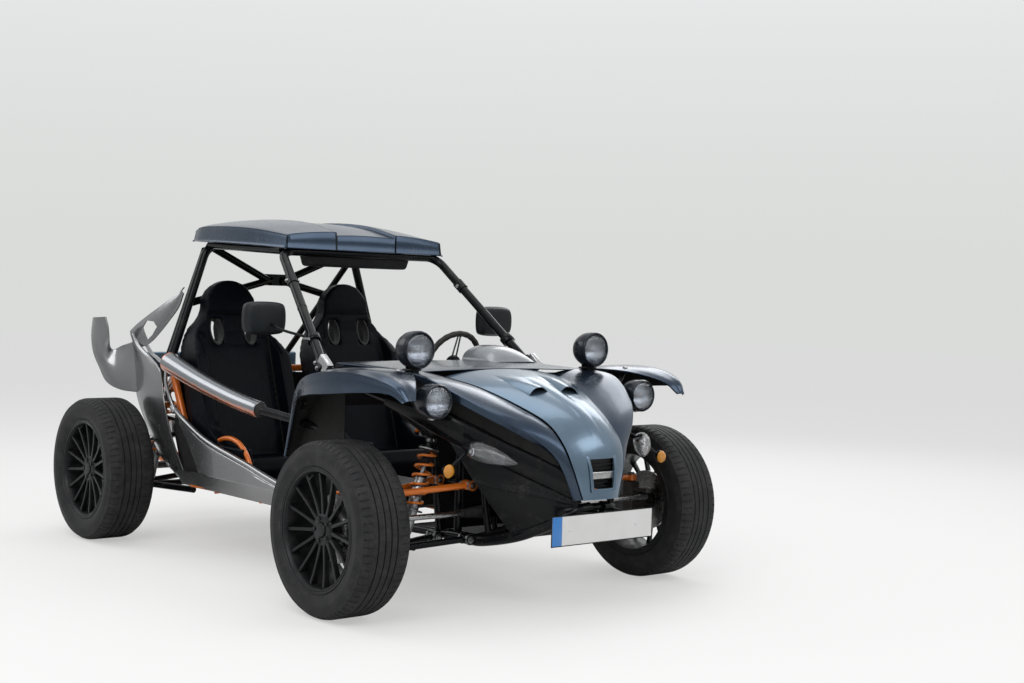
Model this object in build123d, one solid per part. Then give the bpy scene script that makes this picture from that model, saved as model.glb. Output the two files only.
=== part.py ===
from build123d import *
import os
from math import cos, radians, sin

# Light two-seat dune buggy, millimetres. Z is up, the nose points to -Y, the vehicle's left is +X,
# and the origin is on the ground below the middle of the wheelbase.

# Driving dimensions
FRONT_AXLE_Y = -1000.0
REAR_AXLE_Y = 1046.0
FRONT_WHEEL_X = 805.0
REAR_WHEEL_X = 774.0
FRONT_TYRE_R = 328.0
REAR_TYRE_R = 333.0
FRONT_TYRE_W = 218.0
REAR_TYRE_W = 230.0
BEAD_R = 219.0
FLANGE_R = 234.0
SPOKES = 15
CAGE_TUBE = 40.0
FRAME_TUBE = 34.0
ARM_TUBE = 26.0
KINGPIN_X = 712.0
UPPER_BALL_Z = 432.0
LOWER_BALL_Z = 224.0
SEAT_X = 325.0
PANEL = 5.0
RUNNING_GAP = 0.05
NOSE_Y = -1572.0
TAIL_Y = 1572.0

SIDES = (("left", 1), ("right", -1))


def rod(points, diameter, bend=None):
    """A round bar along straight runs joined by bends of one radius."""
    path = Line(*points) if len(points) == 2 else FilletPolyline(*points, radius=bend)
    section = Plane(origin=path @ 0, z_dir=path % 0) * Circle(diameter / 2)
    return sweep(section, path=path)


def on_side(part, sign):
    """The part as drawn on the left, or its mirror image on the right."""
    return part if sign > 0 else mirror(part, about=Plane.YZ)


def both_sides(part):
    return part + mirror(part, about=Plane.YZ)


def crowned_face(origin, x_dir, z_dir, half_width, crown, thickness):
    """A thin strip section with an arched outer edge, thickness measured inwards."""
    with BuildSketch(Plane(origin=origin, x_dir=x_dir, z_dir=z_dir)) as sketch:
        with BuildLine():
            outer = ThreePointArc((-half_width, 0), (0, crown), (half_width, 0))
            inner = ThreePointArc((-half_width, -thickness), (0, crown - thickness), (half_width, -thickness))
            Line(outer @ 0, inner @ 0)
            Line(outer @ 1, inner @ 1)
        make_face()
    return sketch.sketch


def polygon_plate(plane, corners, thickness, both=False):
    """A flat plate with straight edges, drawn on a plane."""
    return extrude(plane * make_face(Polyline(*corners, close=True)), thickness, both=both)


parts = {}


def save(name, part):
    parts[name] = part


os.makedirs("parts", exist_ok=True)


# Wheels: tyre, alloy rim with slim straight spokes and a blind hub bore for the stub axle

STUB_R = 22.0
STUB_DEPTH = 38.0
HUB_R = 62.0


def tyre(radius, width):
    half = width / 2
    outline = [
        Line((-94, BEAD_R), (94, BEAD_R)),
        Line((94, BEAD_R), (94, FLANGE_R + 1)),
        ThreePointArc((94, FLANGE_R + 1), (half, (FLANGE_R + radius) / 2 - 6), (half - 6, radius - 22)),
        ThreePointArc((half - 6, radius - 22), (half - 13, radius - 8), (half - 30, radius - 2)),
        ThreePointArc((half - 30, radius - 2), (0, radius), (30 - half, radius - 2)),
        ThreePointArc((30 - half, radius - 2), (13 - half, radius - 8), (6 - half, radius - 22)),
        ThreePointArc((6 - half, radius - 22), (-half, (FLANGE_R + radius) / 2 - 6), (-94, FLANGE_R + 1)),
        Line((-94, FLANGE_R + 1), (-94, BEAD_R)),
    ]
    return revolve(Plane.XY * make_face(outline), axis=Axis.X)


def rim():
    """Rim about the X axis, its outer face towards +X."""
    barrel = Polyline(
        (-94, BEAD_R), (94, BEAD_R), (94, FLANGE_R), (101, FLANGE_R), (101, 212), (60, 206),
        (-101, 206), (-101, FLANGE_R), (-94, FLANGE_R), close=True,
    )
    part = revolve(Plane.XY * make_face(barrel), axis=Axis.X)
    hub_back = 26.0
    hub_front = 74.0
    hub_outline = Polyline(
        (hub_back, 0), (hub_back, HUB_R), (hub_front - 8, HUB_R - 4), (hub_front, 40), (hub_front, 30),
        (hub_front + 6, 26), (hub_front + 6, 0), close=True,
    )
    part += revolve(Plane.XY * make_face(hub_outline), axis=Axis.X)
    spoke_side = [
        (hub_front - 30, HUB_R - 14), (hub_front - 8, HUB_R - 14), (hub_front + 2, 120), (90, 209), (64, 209),
        (hub_front - 24, 120),
    ]
    spoke = extrude(Plane.XY * make_face(Polyline(*spoke_side, close=True)), 6.5, both=True)
    for index in range(SPOKES):
        part += Rot(X=index * 360 / SPOKES) * spoke
    part -= Pos(hub_back + STUB_DEPTH / 2 - 1, 0, 0) * Rot(Y=90) * Cylinder(STUB_R + RUNNING_GAP, STUB_DEPTH)
    return part


rim_shape = rim()
AXLES = (
    ("front", FRONT_AXLE_Y, FRONT_WHEEL_X, FRONT_TYRE_R, FRONT_TYRE_W),
    ("rear", REAR_AXLE_Y, REAR_WHEEL_X, REAR_TYRE_R, REAR_TYRE_W),
)
for end, axle_y, wheel_x, tyre_r, tyre_w in AXLES:
    for side, sign in SIDES:
        place = Pos(wheel_x, axle_y, tyre_r)
        save(f"tyre_{end}_{side}", on_side(place * tyre(tyre_r, tyre_w), sign))
        save(f"rim_{end}_{side}", on_side(place * rim_shape, sign))


# Front frame: a nose loop of the lower rails, then upper rails, bulkhead, towers and arm pivots

A_FOOT = (554, -505, 880)
LOWER_RAIL_X = 250.0
LOWER_RAIL_Z = 240.0
NOSE_BAR_Y = -1515.0
NOSE_BAR_Z = 415.0
TOWER_Y = -1010.0
TOWER_Z = 660.0
PIVOT_X = LOWER_RAIL_X
PIVOT_Z = 470.0
TOW_EYE = (0, -1518, 374)
TOW_EYE_R = 11.0
TOW_EYE_W = 12.0

frame_nose = rod(
    [(LOWER_RAIL_X, -480, LOWER_RAIL_Z), (LOWER_RAIL_X, -1120, LOWER_RAIL_Z + 20), (110, NOSE_BAR_Y, NOSE_BAR_Z),
     (-110, NOSE_BAR_Y, NOSE_BAR_Z), (-LOWER_RAIL_X, -1120, LOWER_RAIL_Z + 20), (-LOWER_RAIL_X, -480, LOWER_RAIL_Z)],
    FRAME_TUBE, 60)
frame_nose += rod([(-LOWER_RAIL_X, -1120, LOWER_RAIL_Z + 20), (LOWER_RAIL_X, -1120, LOWER_RAIL_Z + 20)], FRAME_TUBE)
frame_nose += Pos(*TOW_EYE) * Rot(Y=90) * Cylinder(24, TOW_EYE_W)
frame_nose += Pos(0, -1516, 396) * Box(TOW_EYE_W, 26, 22)
frame_nose -= Pos(*TOW_EYE) * Rot(Y=90) * Cylinder(TOW_EYE_R, 20)
save("frame_nose", frame_nose)

upper_rail = rod([(548, -508, 856), (520, -900, 790), (455, -1130, 720), (100, -1500, 500)], FRAME_TUBE, 45)
bulkhead = rod([(LOWER_RAIL_X, -900, LOWER_RAIL_Z), (300, -900, 640), (518, -900, 785)], FRAME_TUBE, 60)
tower = rod([(LOWER_RAIL_X, TOWER_Y, LOWER_RAIL_Z + 10), (LOWER_RAIL_X, TOWER_Y, TOWER_Z - 5)], FRAME_TUBE)
tower_strut = rod([(390, TOWER_Y, TOWER_Z), (492, -1000, 755)], 25)
pivot_bar = rod([(PIVOT_X, -1180, PIVOT_Z), (PIVOT_X, -860, PIVOT_Z)], 28)
pivot_leg = rod([(PIVOT_X - 1, -1160, PIVOT_Z + 5), (232, -1180, 280)], 26)
dash_leg = rod([(546, -530, 838), (560, -525, 620), (500, -520, 275), (LOWER_RAIL_X - 8, -505, LOWER_RAIL_Z)],
               FRAME_TUBE, 60)
nose_leg = rod([(96, -1498, 500), (92, -1512, 418)], 28)
bonnet_post = rod([(250, -1343, 597), (152, -1343, 776)], 14)
nose_stub = rod([(70, -1490, 502), (70, -1549, 504)], 14)
grille_stub = rod([(36, -1490, 502), (36, -1545, 504)], 14)
frame_front = rod([(-395, TOWER_Y, TOWER_Z), (395, TOWER_Y, TOWER_Z)], FRAME_TUBE)
frame_front += rod([(-548, -522, 846), (548, -522, 846)], 30)
frame_front += rod([(-104, -1496, 502), (104, -1496, 502)], 28)
for tube in (upper_rail, bulkhead, tower, tower_strut, pivot_bar, pivot_leg, dash_leg, nose_leg, bonnet_post,
             nose_stub, grille_stub):
    frame_front += both_sides(tube)
save("frame_front", frame_front)


# Middle frame: floor rails and sill tubes with crossbars; rear frame: engine cradle and seat braces

SILL_X = 575.0
SILL_Z = 305.0
FLOOR_Z = SILL_Z - FRAME_TUBE / 2
CRADLE_Y = 1420.0
CRADLE_X = 300.0
CRADLE_LOW_Z = 330.0
CRADLE_TOP_Z = 600.0
HOOP_Y = 755.0

floor_rail = rod([(LOWER_RAIL_X, -478, LOWER_RAIL_Z), (LOWER_RAIL_X, 760, LOWER_RAIL_Z),
                  (CRADLE_X, CRADLE_Y, CRADLE_LOW_Z)], FRAME_TUBE, 60)
sill_tube = rod([(500, -500, 290), (SILL_X, -300, SILL_Z + 15), (SILL_X, 560, SILL_Z),
                 (LOWER_RAIL_X, 700, LOWER_RAIL_Z)], FRAME_TUBE, 60)
frame_floor = both_sides(floor_rail) + both_sides(sill_tube)
frame_floor += rod([(-CRADLE_X, CRADLE_Y, CRADLE_LOW_Z), (CRADLE_X, CRADLE_Y, CRADLE_LOW_Z)], FRAME_TUBE)
for crossbar_y in (300, -60):
    frame_floor += rod([(-SILL_X, crossbar_y, FLOOR_Z + 14), (SILL_X, crossbar_y, FLOOR_Z + 14)], 30)
    frame_floor += both_sides(rod([(LOWER_RAIL_X, crossbar_y, LOWER_RAIL_Z), (LOWER_RAIL_X, crossbar_y, FLOOR_Z + 14)],
                                  30))
save("frame_floor", frame_floor)

cradle = rod([(545, 760, 800), (430, 1080, 700), (CRADLE_X, CRADLE_Y, CRADLE_TOP_Z),
              (CRADLE_X, CRADLE_Y, CRADLE_LOW_Z)], FRAME_TUBE, 60)
quarter_leg = rod([(575, HOOP_Y, 830), (560, 640, 560), (SILL_X - 10, 545, 310)], FRAME_TUBE, 60)
seat_brace = rod([(505, 770, 812), (500, 560, 560), (480, 470, 262)], 30, 60)
frame_rear = rod([(-560, 770, 815), (560, 770, 815)], FRAME_TUBE)
frame_rear += rod([(-CRADLE_X, CRADLE_Y, CRADLE_TOP_Z - 10), (CRADLE_X, CRADLE_Y, CRADLE_TOP_Z - 10)], FRAME_TUBE)
frame_rear += rod([(-430, 1080, 700), (430, 1080, 700)], FRAME_TUBE)
for tube in (cradle, quarter_leg, seat_brace):
    frame_rear += both_sides(tube)
save("frame_rear", frame_rear)


# Floor pan between the rails, with a tray lip

floor_outline = [(-480, -480), (480, -480), (550, -280), (550, 520), (260, 700), (-260, 700), (-550, 520),
                 (-550, -280)]
FLOOR_SHEET = 4.0
TUNNEL = (180, 1080, 94)
floor_pan = polygon_plate(Plane.XY.offset(FLOOR_Z - FLOOR_SHEET), floor_outline, FLOOR_SHEET)
floor_pan += Pos(0, 110, FLOOR_Z + TUNNEL[2] / 2 - 2) * Box(*TUNNEL)
save("floor_pan", floor_pan)


# Roll cage: screen pillars with header, main hoop, crossed bracing and rear stays

ROOF_FRONT = (425, 60, 1372)
ROOF_REAR = (410, 745, 1402)
HOOP_FOOT = (585, 755, 850)
cage_front = rod(
    [A_FOOT, ROOF_FRONT, (-ROOF_FRONT[0], ROOF_FRONT[1], ROOF_FRONT[2]), (-A_FOOT[0], A_FOOT[1], A_FOOT[2])],
    CAGE_TUBE, 70)
roof_rail = rod([(412, 70, 1375), (400, 730, 1405)], CAGE_TUBE)
cage_front += both_sides(roof_rail)
save("cage_front", cage_front)

cage_rear = rod(
    [HOOP_FOOT, ROOF_REAR, (-ROOF_REAR[0], ROOF_REAR[1], ROOF_REAR[2]), (-HOOP_FOOT[0], HOOP_FOOT[1], HOOP_FOOT[2])],
    CAGE_TUBE, 80)
BRACE_TUBE = 36.0
BRACE_Y = 800.0
BRACE_Z = 1248.0
cage_rear += both_sides(rod([(400, 756, 1402), (25, BRACE_Y, BRACE_Z - 12)], BRACE_TUBE))
cage_rear += both_sides(rod([(505, 758, 1122), (25, BRACE_Y, BRACE_Z)], BRACE_TUBE))
cage_rear += Pos(0, BRACE_Y, BRACE_Z) * Box(170, 12, 56)
stay = rod([(420, 752, 1380), (330, 1300, 800), (300, 1420, 605)], 32, 80)
cage_rear += both_sides(stay)
save("cage_rear", cage_rear)


# Roof: one moulded panel, upright skirts, side lobes and a sunk middle band, a console under its front

ROOF_STATIONS = (
    # y, half width, skirt bottom z, crease z, top z
    (30, 430, 1384, 1440, 1464),
    (250, 446, 1398, 1468, 1512),
    (500, 452, 1410, 1483, 1532),
    (745, 446, 1419, 1485, 1530),
    (838, 430, 1424, 1468, 1500),
)
ROOF_BAND = 165.0
ROOF_STEP = 9.0
ROOF_SKIN = 14.0


def roof_section(y, half, bottom, crease, top):
    """Half section from the skirt over the side lobe to the sunk band, then its mirror image."""

    def height(x):
        return crease + (top - crease) * (1 - (x / half) ** 2)

    lobe_mid = (half + ROOF_BAND) / 2
    points = {
        "skirt": (half, bottom), "crease": (half - 8, crease), "mid": (lobe_mid, height(lobe_mid) + 6),
        "lobe": (ROOF_BAND, height(ROOF_BAND) + 4), "step": (ROOF_BAND - 10, height(ROOF_BAND) - ROOF_STEP),
    }
    at = {name: (x, y, z) for name, (x, z) in points.items()}
    to = {name: (-x, y, z) for name, (x, z) in points.items()}
    return make_face([
        Line(at["skirt"], at["crease"]), ThreePointArc(at["crease"], at["mid"], at["lobe"]),
        Line(at["lobe"], at["step"]), ThreePointArc(at["step"], (0, y, top - ROOF_STEP), to["step"]),
        Line(to["step"], to["lobe"]), ThreePointArc(to["lobe"], to["mid"], to["crease"]),
        Line(to["crease"], to["skirt"]), Line(to["skirt"], at["skirt"]),
    ])


roof = loft([roof_section(*station) for station in ROOF_STATIONS])
inside_ends = {30: 46, 838: 824}
roof -= loft([
    roof_section(inside_ends.get(y, y), half - ROOF_SKIN, bottom - 30, crease - ROOF_SKIN, top - ROOF_SKIN)
    for y, half, bottom, crease, top in ROOF_STATIONS
])
save("roof_panel", roof)

console = Pos(0, 110, 1352) * Box(560, 118, 84)
console = fillet(console.edges(), 16)
save("overhead_console", console)


# Body front: silver bonnet down to the nose with two air scoops, dark wings each side

BONNET_STATIONS = (
    # y, z of the edge, half width, crown, tilt of the section plane from upright (degrees)
    (-955, 880, 290, 26, 4),
    (-1130, 845, 246, 34, 12),
    (-1300, 785, 192, 40, 24),
    (-1420, 728, 156, 38, 38),
    (-1500, 655, 146, 34, 62),
    (-1536, 570, 128, 26, 78),
    (-1552, 450, 88, 16, 86),
)


def bonnet_section(y, z, half_width, crown, tilt, thickness):
    plane_normal = (0, cos(radians(tilt)), sin(radians(tilt)))
    return crowned_face((0, y, z), (-1, 0, 0), plane_normal, half_width, crown, thickness)


bonnet = loft([bonnet_section(*station, PANEL) for station in BONNET_STATIONS])
GRILLE_TOP = 603.0
GRILLE_BOTTOM = 492.0
GRILLE_TOP_HALF = 47.0
GRILLE_BOTTOM_HALF = 36.0
GRILLE_REBATE = 4.0


def grille_outline(margin):
    """The grille opening, narrower at the bottom, grown by a margin."""
    top, bottom = GRILLE_TOP_HALF + margin, GRILLE_BOTTOM_HALF + margin
    return [(-top, GRILLE_TOP + margin), (top, GRILLE_TOP + margin), (bottom, GRILLE_BOTTOM - margin),
            (-bottom, GRILLE_BOTTOM - margin)]


bonnet -= polygon_plate(Plane.XZ.offset(1500), grille_outline(0), 120)

SCOOP_STATIONS = (
    # y, inner foot x, outer foot x, height of the top above the bonnet
    (-1000, 94, 130, -3),
    (-1080, 72, 140, 5),
    (-1160, 53, 143, 15),
    (-1230, 38, 140, 24),
    (-1275, 29, 135, 27),
)
SCOOP_FOOT = 9.0
SCOOP_WALL = 3.0
SCOOP_MOUTH = 34.0


def bonnet_height(x, y):
    """Height of the bonnet's outer surface, from its stations."""
    for rear, front in zip(BONNET_STATIONS, BONNET_STATIONS[1:]):
        if front[0] <= y <= rear[0]:
            share = (rear[0] - y) / (rear[0] - front[0])
            z, half_width, crown = (rear[k] + (front[k] - rear[k]) * share for k in (1, 2, 3))
            return z + crown * (1 - (x / half_width) ** 2)


def scoop_section(y, inner_x, outer_x, rise, inset=0.0):
    """An arch that stands on the bonnet, its feet sunk in it, drawn smaller by the inset."""
    inner_x += inset
    outer_x -= inset
    middle_x = (inner_x + outer_x) / 2
    inner = (inner_x, y, bonnet_height(inner_x, y) - SCOOP_FOOT + inset)
    outer = (outer_x, y, bonnet_height(outer_x, y) - SCOOP_FOOT + inset)
    top = (middle_x, y, bonnet_height(middle_x, y) + rise - inset)
    return make_face([ThreePointArc(inner, top, outer), Line(outer, inner)])


scoop = loft([scoop_section(*station) for station in SCOOP_STATIONS])
scoop_mouth = extrude(scoop_section(*SCOOP_STATIONS[-1], inset=SCOOP_WALL), SCOOP_MOUTH, dir=(0, 1, 0))
bonnet += both_sides(scoop)
bonnet -= both_sides(scoop_mouth)
save("bonnet", bonnet)


# Dark scuttle behind the bonnet, side wings and the dashboard with its instrument hood


def edge_section(inner, outer, normal, bulge, lip, thickness=PANEL):
    """A strip between two edges, arched along the normal, its outer edge turned down by the lip."""
    a, b, n = Vector(*inner), Vector(*outer), Vector(normal).normalized()
    along = (b - a).normalized()
    c = b - n * lip
    c2 = c - along * thickness
    d = b - along * thickness - n * thickness
    e = a - n * thickness
    middle = (a + b) * 0.5 + n * bulge
    under = (d + e) * 0.5 + n * bulge
    edges = [ThreePointArc(a, middle, b), Line(b, c), Line(c, c2), Line(c2, d), ThreePointArc(d, under, e),
             Line(e, a)]
    return make_face(edges)


WING_STATIONS = (
    # inner edge, outer edge, direction of the outer surface, bulge, lip
    ((295, -950, 878), (470, -950, 905), (0, -0.05, 1), 6, 22),
    ((251, -1130, 842), (486, -1110, 880), (-0.1, -0.25, 1), 9, 24),
    ((197, -1300, 781), (404, -1290, 796), (0, -0.45, 1), 10, 26),
    ((161, -1420, 722), (306, -1405, 722), (0.1, -0.75, 1), 9, 26),
    ((151, -1499, 648), (206, -1478, 640), (0.4, -1, 0.5), 4, 24),
    ((133, -1534, 565), (160, -1508, 560), (0.5, -1, 0.2), 3, 20),
    ((94, -1550, 452), (118, -1526, 448), (0.5, -1, 0.1), 3, 16),
)


def planar_normal(inner, outer, normal):
    """The direction at right angles to the strip's own line."""
    along = (Vector(*outer) - Vector(*inner)).normalized()
    n = Vector(*normal)
    return n - along * n.dot(along)


wing = loft([
    edge_section(inner, outer, planar_normal(inner, outer, normal), bulge, lip)
    for inner, outer, normal, bulge, lip in WING_STATIONS
])
scuttle_sections = (
    # y, z, half width, crown
    (-949.5, 896, 470, 12), (-740, 908, 462, 10), (-560, 912, 500, 8), (-535, 905, 505, 8),
)
scuttle = loft([
    crowned_face((0, y, z), (-1, 0, 0), (0, 1, 0), w, c, PANEL) for y, z, w, c in scuttle_sections
])
dash = Pos(0, -482, 800) * Box(980, 36, 130)
dash = fillet(dash.edges().filter_by(Axis.X), 12)
scuttle += dash
scuttle += Pos(0, -505, 885) * Box(980, 70, 50)
hood_side = polygon_plate(Plane.YZ, [(-668, 905), (-572, 984), (-500, 976), (-480, 905)], 460)
hood_front = extrude(Plane.XZ.offset(480) * make_face([
    ThreePointArc((170, 900), (305, 990), (440, 900)), Line((440, 900), (170, 900))]), 190)
scuttle += hood_side & hood_front
COLUMN_TILT = 20.0
STEER_CENTRE = (300, -240, 895)
COLUMN_D = 28.0
column_path = Pos(*STEER_CENTRE) * Rot(X=90 + COLUMN_TILT)
scuttle -= column_path * Pos(0, 0, 250) * Cylinder(COLUMN_D / 2 + RUNNING_GAP, 120)
scuttle += both_sides(wing)
save("scuttle", scuttle)

nose_grille = polygon_plate(Plane.XZ.offset(1539), grille_outline(GRILLE_REBATE), 22)
nose_grille -= Pos(0, -1552, 578) * Box(78, 14, 32)
nose_grille -= Pos(0, -1552, 515) * Box(62, 14, 32)
save("nose_grille", nose_grille)

# Front wings over the wheels, a down-turned outer lip and a tail behind the tyre

FENDER_STATIONS = (
    # y, z, slope of the surface (degrees, nose down positive), inner x, outer x, bulge, lip
    (-1290, 815, 62, 560, 716, 6, 12),
    (-1235, 866, 34, 530, 745, 10, 30),
    (-1100, 900, 8, 505, 788, 14, 62),
    (-900, 900, -4, 500, 800, 14, 78),
    (-700, 868, -16, 505, 776, 14, 66),
    (-530, 795, -38, 520, 712, 10, 36),
    (-420, 670, -66, 535, 664, 8, 22),
    (-352, 525, -74, 545, 645, 6, 16),
)
fender_sections = []
for y, z, slope, inner_x, outer_x, bulge, lip in FENDER_STATIONS:
    normal = (0, -sin(radians(slope)), cos(radians(slope)))
    fender_sections.append(edge_section((inner_x, y, z), (outer_x, y, z), normal, bulge, lip))
fender = loft(fender_sections)
for foot, top in (((478, -1060, 736), (600, -1060, 910)), ((524, -800, 806), (610, -780, 895))):
    fender += rod([foot, top], 18)
save("front_fenders", both_sides(fender))

# Sill panels under the door openings, a rolled top edge falling towards the front

SILL_STATIONS = (
    # y, top z
    (610, 612), (400, 532), (150, 478), (-100, 428), (-330, 384),
)


def sill_section(y, top):
    outer = [(586, top - 12), (596, top), (610, top - 6), (620, 366), (588, 296)]
    inner = [(583, 300), (614, 367), (604, top - 10), (596, top - 6), (590, top - 14)]
    return make_face(Polyline(*[(x, y, z) for x, z in outer + inner], close=True))


sill = loft([sill_section(y, top) for y, top in SILL_STATIONS], ruled=True)
sill -= Pos(600, 610, 400) * Rot(X=-24) * Box(100, 160, 600)
save("sill_panels", both_sides(sill))

# Rear quarters: side panel ahead of the wheel, flared wing over the tyre, air scoop horn with its window


def skin_section(inner, outer, normal, bulge, thickness=PANEL):
    """A strip between two edges, arched along the normal, with an even thickness."""
    a, b, n = Vector(*inner), Vector(*outer), planar_normal(inner, outer, normal).normalized()
    middle = (a + b) * 0.5 + n * bulge
    low_a, low_b, low_middle = a - n * thickness, b - n * thickness, middle - n * thickness
    return make_face([ThreePointArc(a, middle, b), Line(b, low_b), ThreePointArc(low_b, low_middle, low_a),
                      Line(low_a, a)])


OUTWARD = (1, 0, 0)
QUARTER_STATIONS = (
    # front edge, rear edge
    ((590, 560, 312), (575, 650, 312)),
    ((606, 588, 387), (588, 797, 387)),
    ((618, 640, 473), (596, 892, 473)),
    ((622, 690, 562), (604, 968, 562)),
    ((622, 742, 676), (606, 1050, 676)),
    ((618, 790, 800), (606, 1078, 800)),
    ((610, 905, 862), (604, 1095, 862)),
    ((604, 1030, 915), (602, 1115, 925)),
    ((600, 1095, 970), (599, 1145, 978)),
)
WING_FLARE_STATIONS = (
    # top edge, bottom edge, bulge
    ((598, 1096, 933), (602, 1036, 690), 3),
    ((638, 1160, 906), (655, 1125, 698), 8),
    ((668, 1183, 888), (698, 1186, 732), 12),
    ((686, 1186, 905), (718, 1228, 800), 14),
    ((693, 1180, 950), (725, 1284, 872), 14),
    ((697, 1185, 1000), (726, 1306, 955), 12),
    ((703, 1200, 1046), (722, 1300, 1040), 10),
)
HORN_STATIONS = (
    # lower edge, upper edge
    ((599, 1075, 905), (599, 1150, 980)),
    ((592, 1010, 912), (592, 1090, 1016)),
    ((584, 950, 938), (580, 1005, 1060)),
    ((570, 893, 985), (563, 925, 1102)),
    ((550, 845, 1040), (542, 858, 1142)),
    ((526, 800, 1105), (520, 808, 1178)),
    ((512, 780, 1172), (508, 786, 1200)),
)
quarter = loft([skin_section(front, rear, OUTWARD, 10) for front, rear in QUARTER_STATIONS])
quarter += loft([skin_section(top, bottom, (0.8, -0.6, 0), bulge) for top, bottom, bulge in WING_FLARE_STATIONS])
horn = loft([skin_section(lower, upper, OUTWARD, 8) for lower, upper in HORN_STATIONS])
horn_window = [(1024, 1003), (1002, 1036), (938, 1032), (912, 1008), (944, 968), (978, 944)]
horn -= polygon_plate(Plane.YZ.offset(500), horn_window, 160)
scoop_lip = loft([
    skin_section((590, y, z), (566, y + 12, z + 4), (0, -0.5, 1), 2) for y, z in ((835, 838), (960, 885), (1060, 960))
])
quarter += horn
quarter += scoop_lip
quarter += rod([(560, 655, 575), (616, 780, 600)], 16)
quarter += rod([(462, 990, 728), (615, 985, 735)], 16)
quarter += rod([(567, 560, 352), (600, 640, 372)], 16)
save("rear_quarters", both_sides(quarter))

# Side bars: a steel tube from the hoop foot to the dash leg with a fat tapered sleeve

SLEEVE_REAR_R = 48.0
SLEEVE_FRONT_R = 35.0
side_tube = rod([(583, 790, 850), (640, 640, 848), (645, -60, 727), (560, -545, 645)], 36, 60)
sleeve_path = Line((641, 640, 848), (645, -120, 717))
sleeve = loft([
    Plane(origin=sleeve_path @ 0, z_dir=sleeve_path % 0) * Circle(SLEEVE_REAR_R),
    Plane(origin=sleeve_path @ 1, z_dir=sleeve_path % 1) * Circle(SLEEVE_FRONT_R),
])
save("side_bars", both_sides(side_tube + sleeve))

# Seats: moulded buckets, domed head, broad shoulders, raised cushion sides, two belt slots

SEAT_HALF = 245.0
BOLSTER_IN = 185.0
BELT_SLOT = (66, 124)
BELT_SLOT_X = 88.0
BELT_SLOT_Z = 1002.0
seat_side = [(95, 400), (120, 452), (300, 425), (440, 420), (640, 1010), (676, 1243), (730, 1243),
             (742, 1010), (560, 350), (500, 290), (120, 290)]
bolster_side = [(85, 395), (110, 500), (300, 500), (400, 560), (530, 900), (640, 1010), (742, 1010), (560, 350),
                (500, 290), (120, 290)]
seat_face = make_face([
    Line((-215, 280), (215, 280)), Line((215, 280), (240, 520)), Line((240, 520), (SEAT_HALF, 860)),
    ThreePointArc((SEAT_HALF, 860), (214, 975), (160, 1046)), ThreePointArc((160, 1046), (134, 1096), (128, 1150)),
    ThreePointArc((128, 1150), (0, 1243), (-128, 1150)), ThreePointArc((-128, 1150), (-134, 1096), (-160, 1046)),
    ThreePointArc((-160, 1046), (-214, 975), (-SEAT_HALF, 860)), Line((-SEAT_HALF, 860), (-240, 520)),
    Line((-240, 520), (-215, 280)),
])
seat = polygon_plate(Plane.YZ, seat_side, SEAT_HALF, both=True)
bolsters = polygon_plate(Plane.YZ, bolster_side, SEAT_HALF, both=True)
seat += bolsters - polygon_plate(Plane.YZ, bolster_side, BOLSTER_IN, both=True)
seat &= extrude(Plane.XZ * seat_face, 900, both=True)
for slot_x in (-BELT_SLOT_X, BELT_SLOT_X):
    seat -= Pos(slot_x, 680, BELT_SLOT_Z) * Box(BELT_SLOT[0], 260, BELT_SLOT[1])
save("seats", both_sides(Pos(SEAT_X, 0, 0) * seat))

# Lamps and mirrors

spot = Pos(462, -1015, 986) * Rot(X=-90) * (
    Pos(0, 0, 42) * Cylinder(72.5, 84) + Pos(0, 0, 92) * Cone(72.5, 40, 16))
spot += Pos(462, -968, 911) * Box(30, 34, 16) + Pos(462, -968, 906) * Box(50, 50, 8)
save("spot_lamps", both_sides(spot))

headlamp = Pos(534, -1232, 805) * Rot(X=-90) * (
    Pos(0, 0, 22) * Cylinder(65, 44) + Pos(0, 0, 79) * Cone(65, 26, 70))
headlamp += rod([(534, -1190, 770), (500, -1150, 750)], 20)
save("head_lamps", both_sides(headlamp))

running_axis = Line((462, -1300, 655), (310, -1470, 590))
teardrop = revolve(Plane.XZ * make_face(Polyline(
    (0, 0), (0, 14), (18, 30), (50, 36), (100, 33), (150, 22), (190, 8), (200, 4), (200, 0), close=True)), axis=Axis.X)
running = Plane(origin=running_axis @ 0, x_dir=running_axis % 0, z_dir=(0, -0.4, 1)) * teardrop
running += rod([(420, -1340, 640), (395, -1200, 690)], 18)
running += rod([(440, -1310, 640), (552, -1318, 561)], 12)
running += Pos(552, -1324, 561) * Rot(X=90) * Cylinder(21, 34)
save("running_lamps", both_sides(running))

pillar = Line(A_FOOT, ROOF_FRONT)
clamp_at = pillar @ 0.25
mirror_arm = rod([(clamp_at.X, clamp_at.Y, clamp_at.Z), (600, -230, 1035), (612, -170, 1060)], 12, 40)
housing = fillet((Pos(624, -150, 1080) * Box(200, 56, 140)).edges(), 20)
mirror_part = housing + mirror_arm
mirror_part += Plane(origin=clamp_at, z_dir=pillar % 0.25) * Cylinder(29, 34)
save("mirrors", both_sides(mirror_part))

# Number plate on its holder

number_plate = Pos(0, NOSE_Y + 2, 348) * Box(520, 4, 114)
number_plate += both_sides(Pos(90, -1543, 400) * Box(24, 58, 16))
save("number_plate", number_plate)

# Front suspension: wishbones, coil-over struts, knuckles with stub axles

PIN_R = 9.0
EYE_R = 24.0
EYE_H = 24.0


def wishbone(ball_z, pivots):
    ball = (KINGPIN_X, FRONT_AXLE_Y, ball_z)
    arm = Pos(*ball) * Cylinder(EYE_R, EYE_H)
    for pivot in pivots:
        arm += rod([(KINGPIN_X - 14, FRONT_AXLE_Y, ball_z), pivot], ARM_TUBE)
        arm += Pos(*pivot) * Rot(X=90) * Cylinder(20, 60)
    return arm - Pos(*ball) * Cylinder(PIN_R + RUNNING_GAP, 2 * EYE_H)


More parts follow.
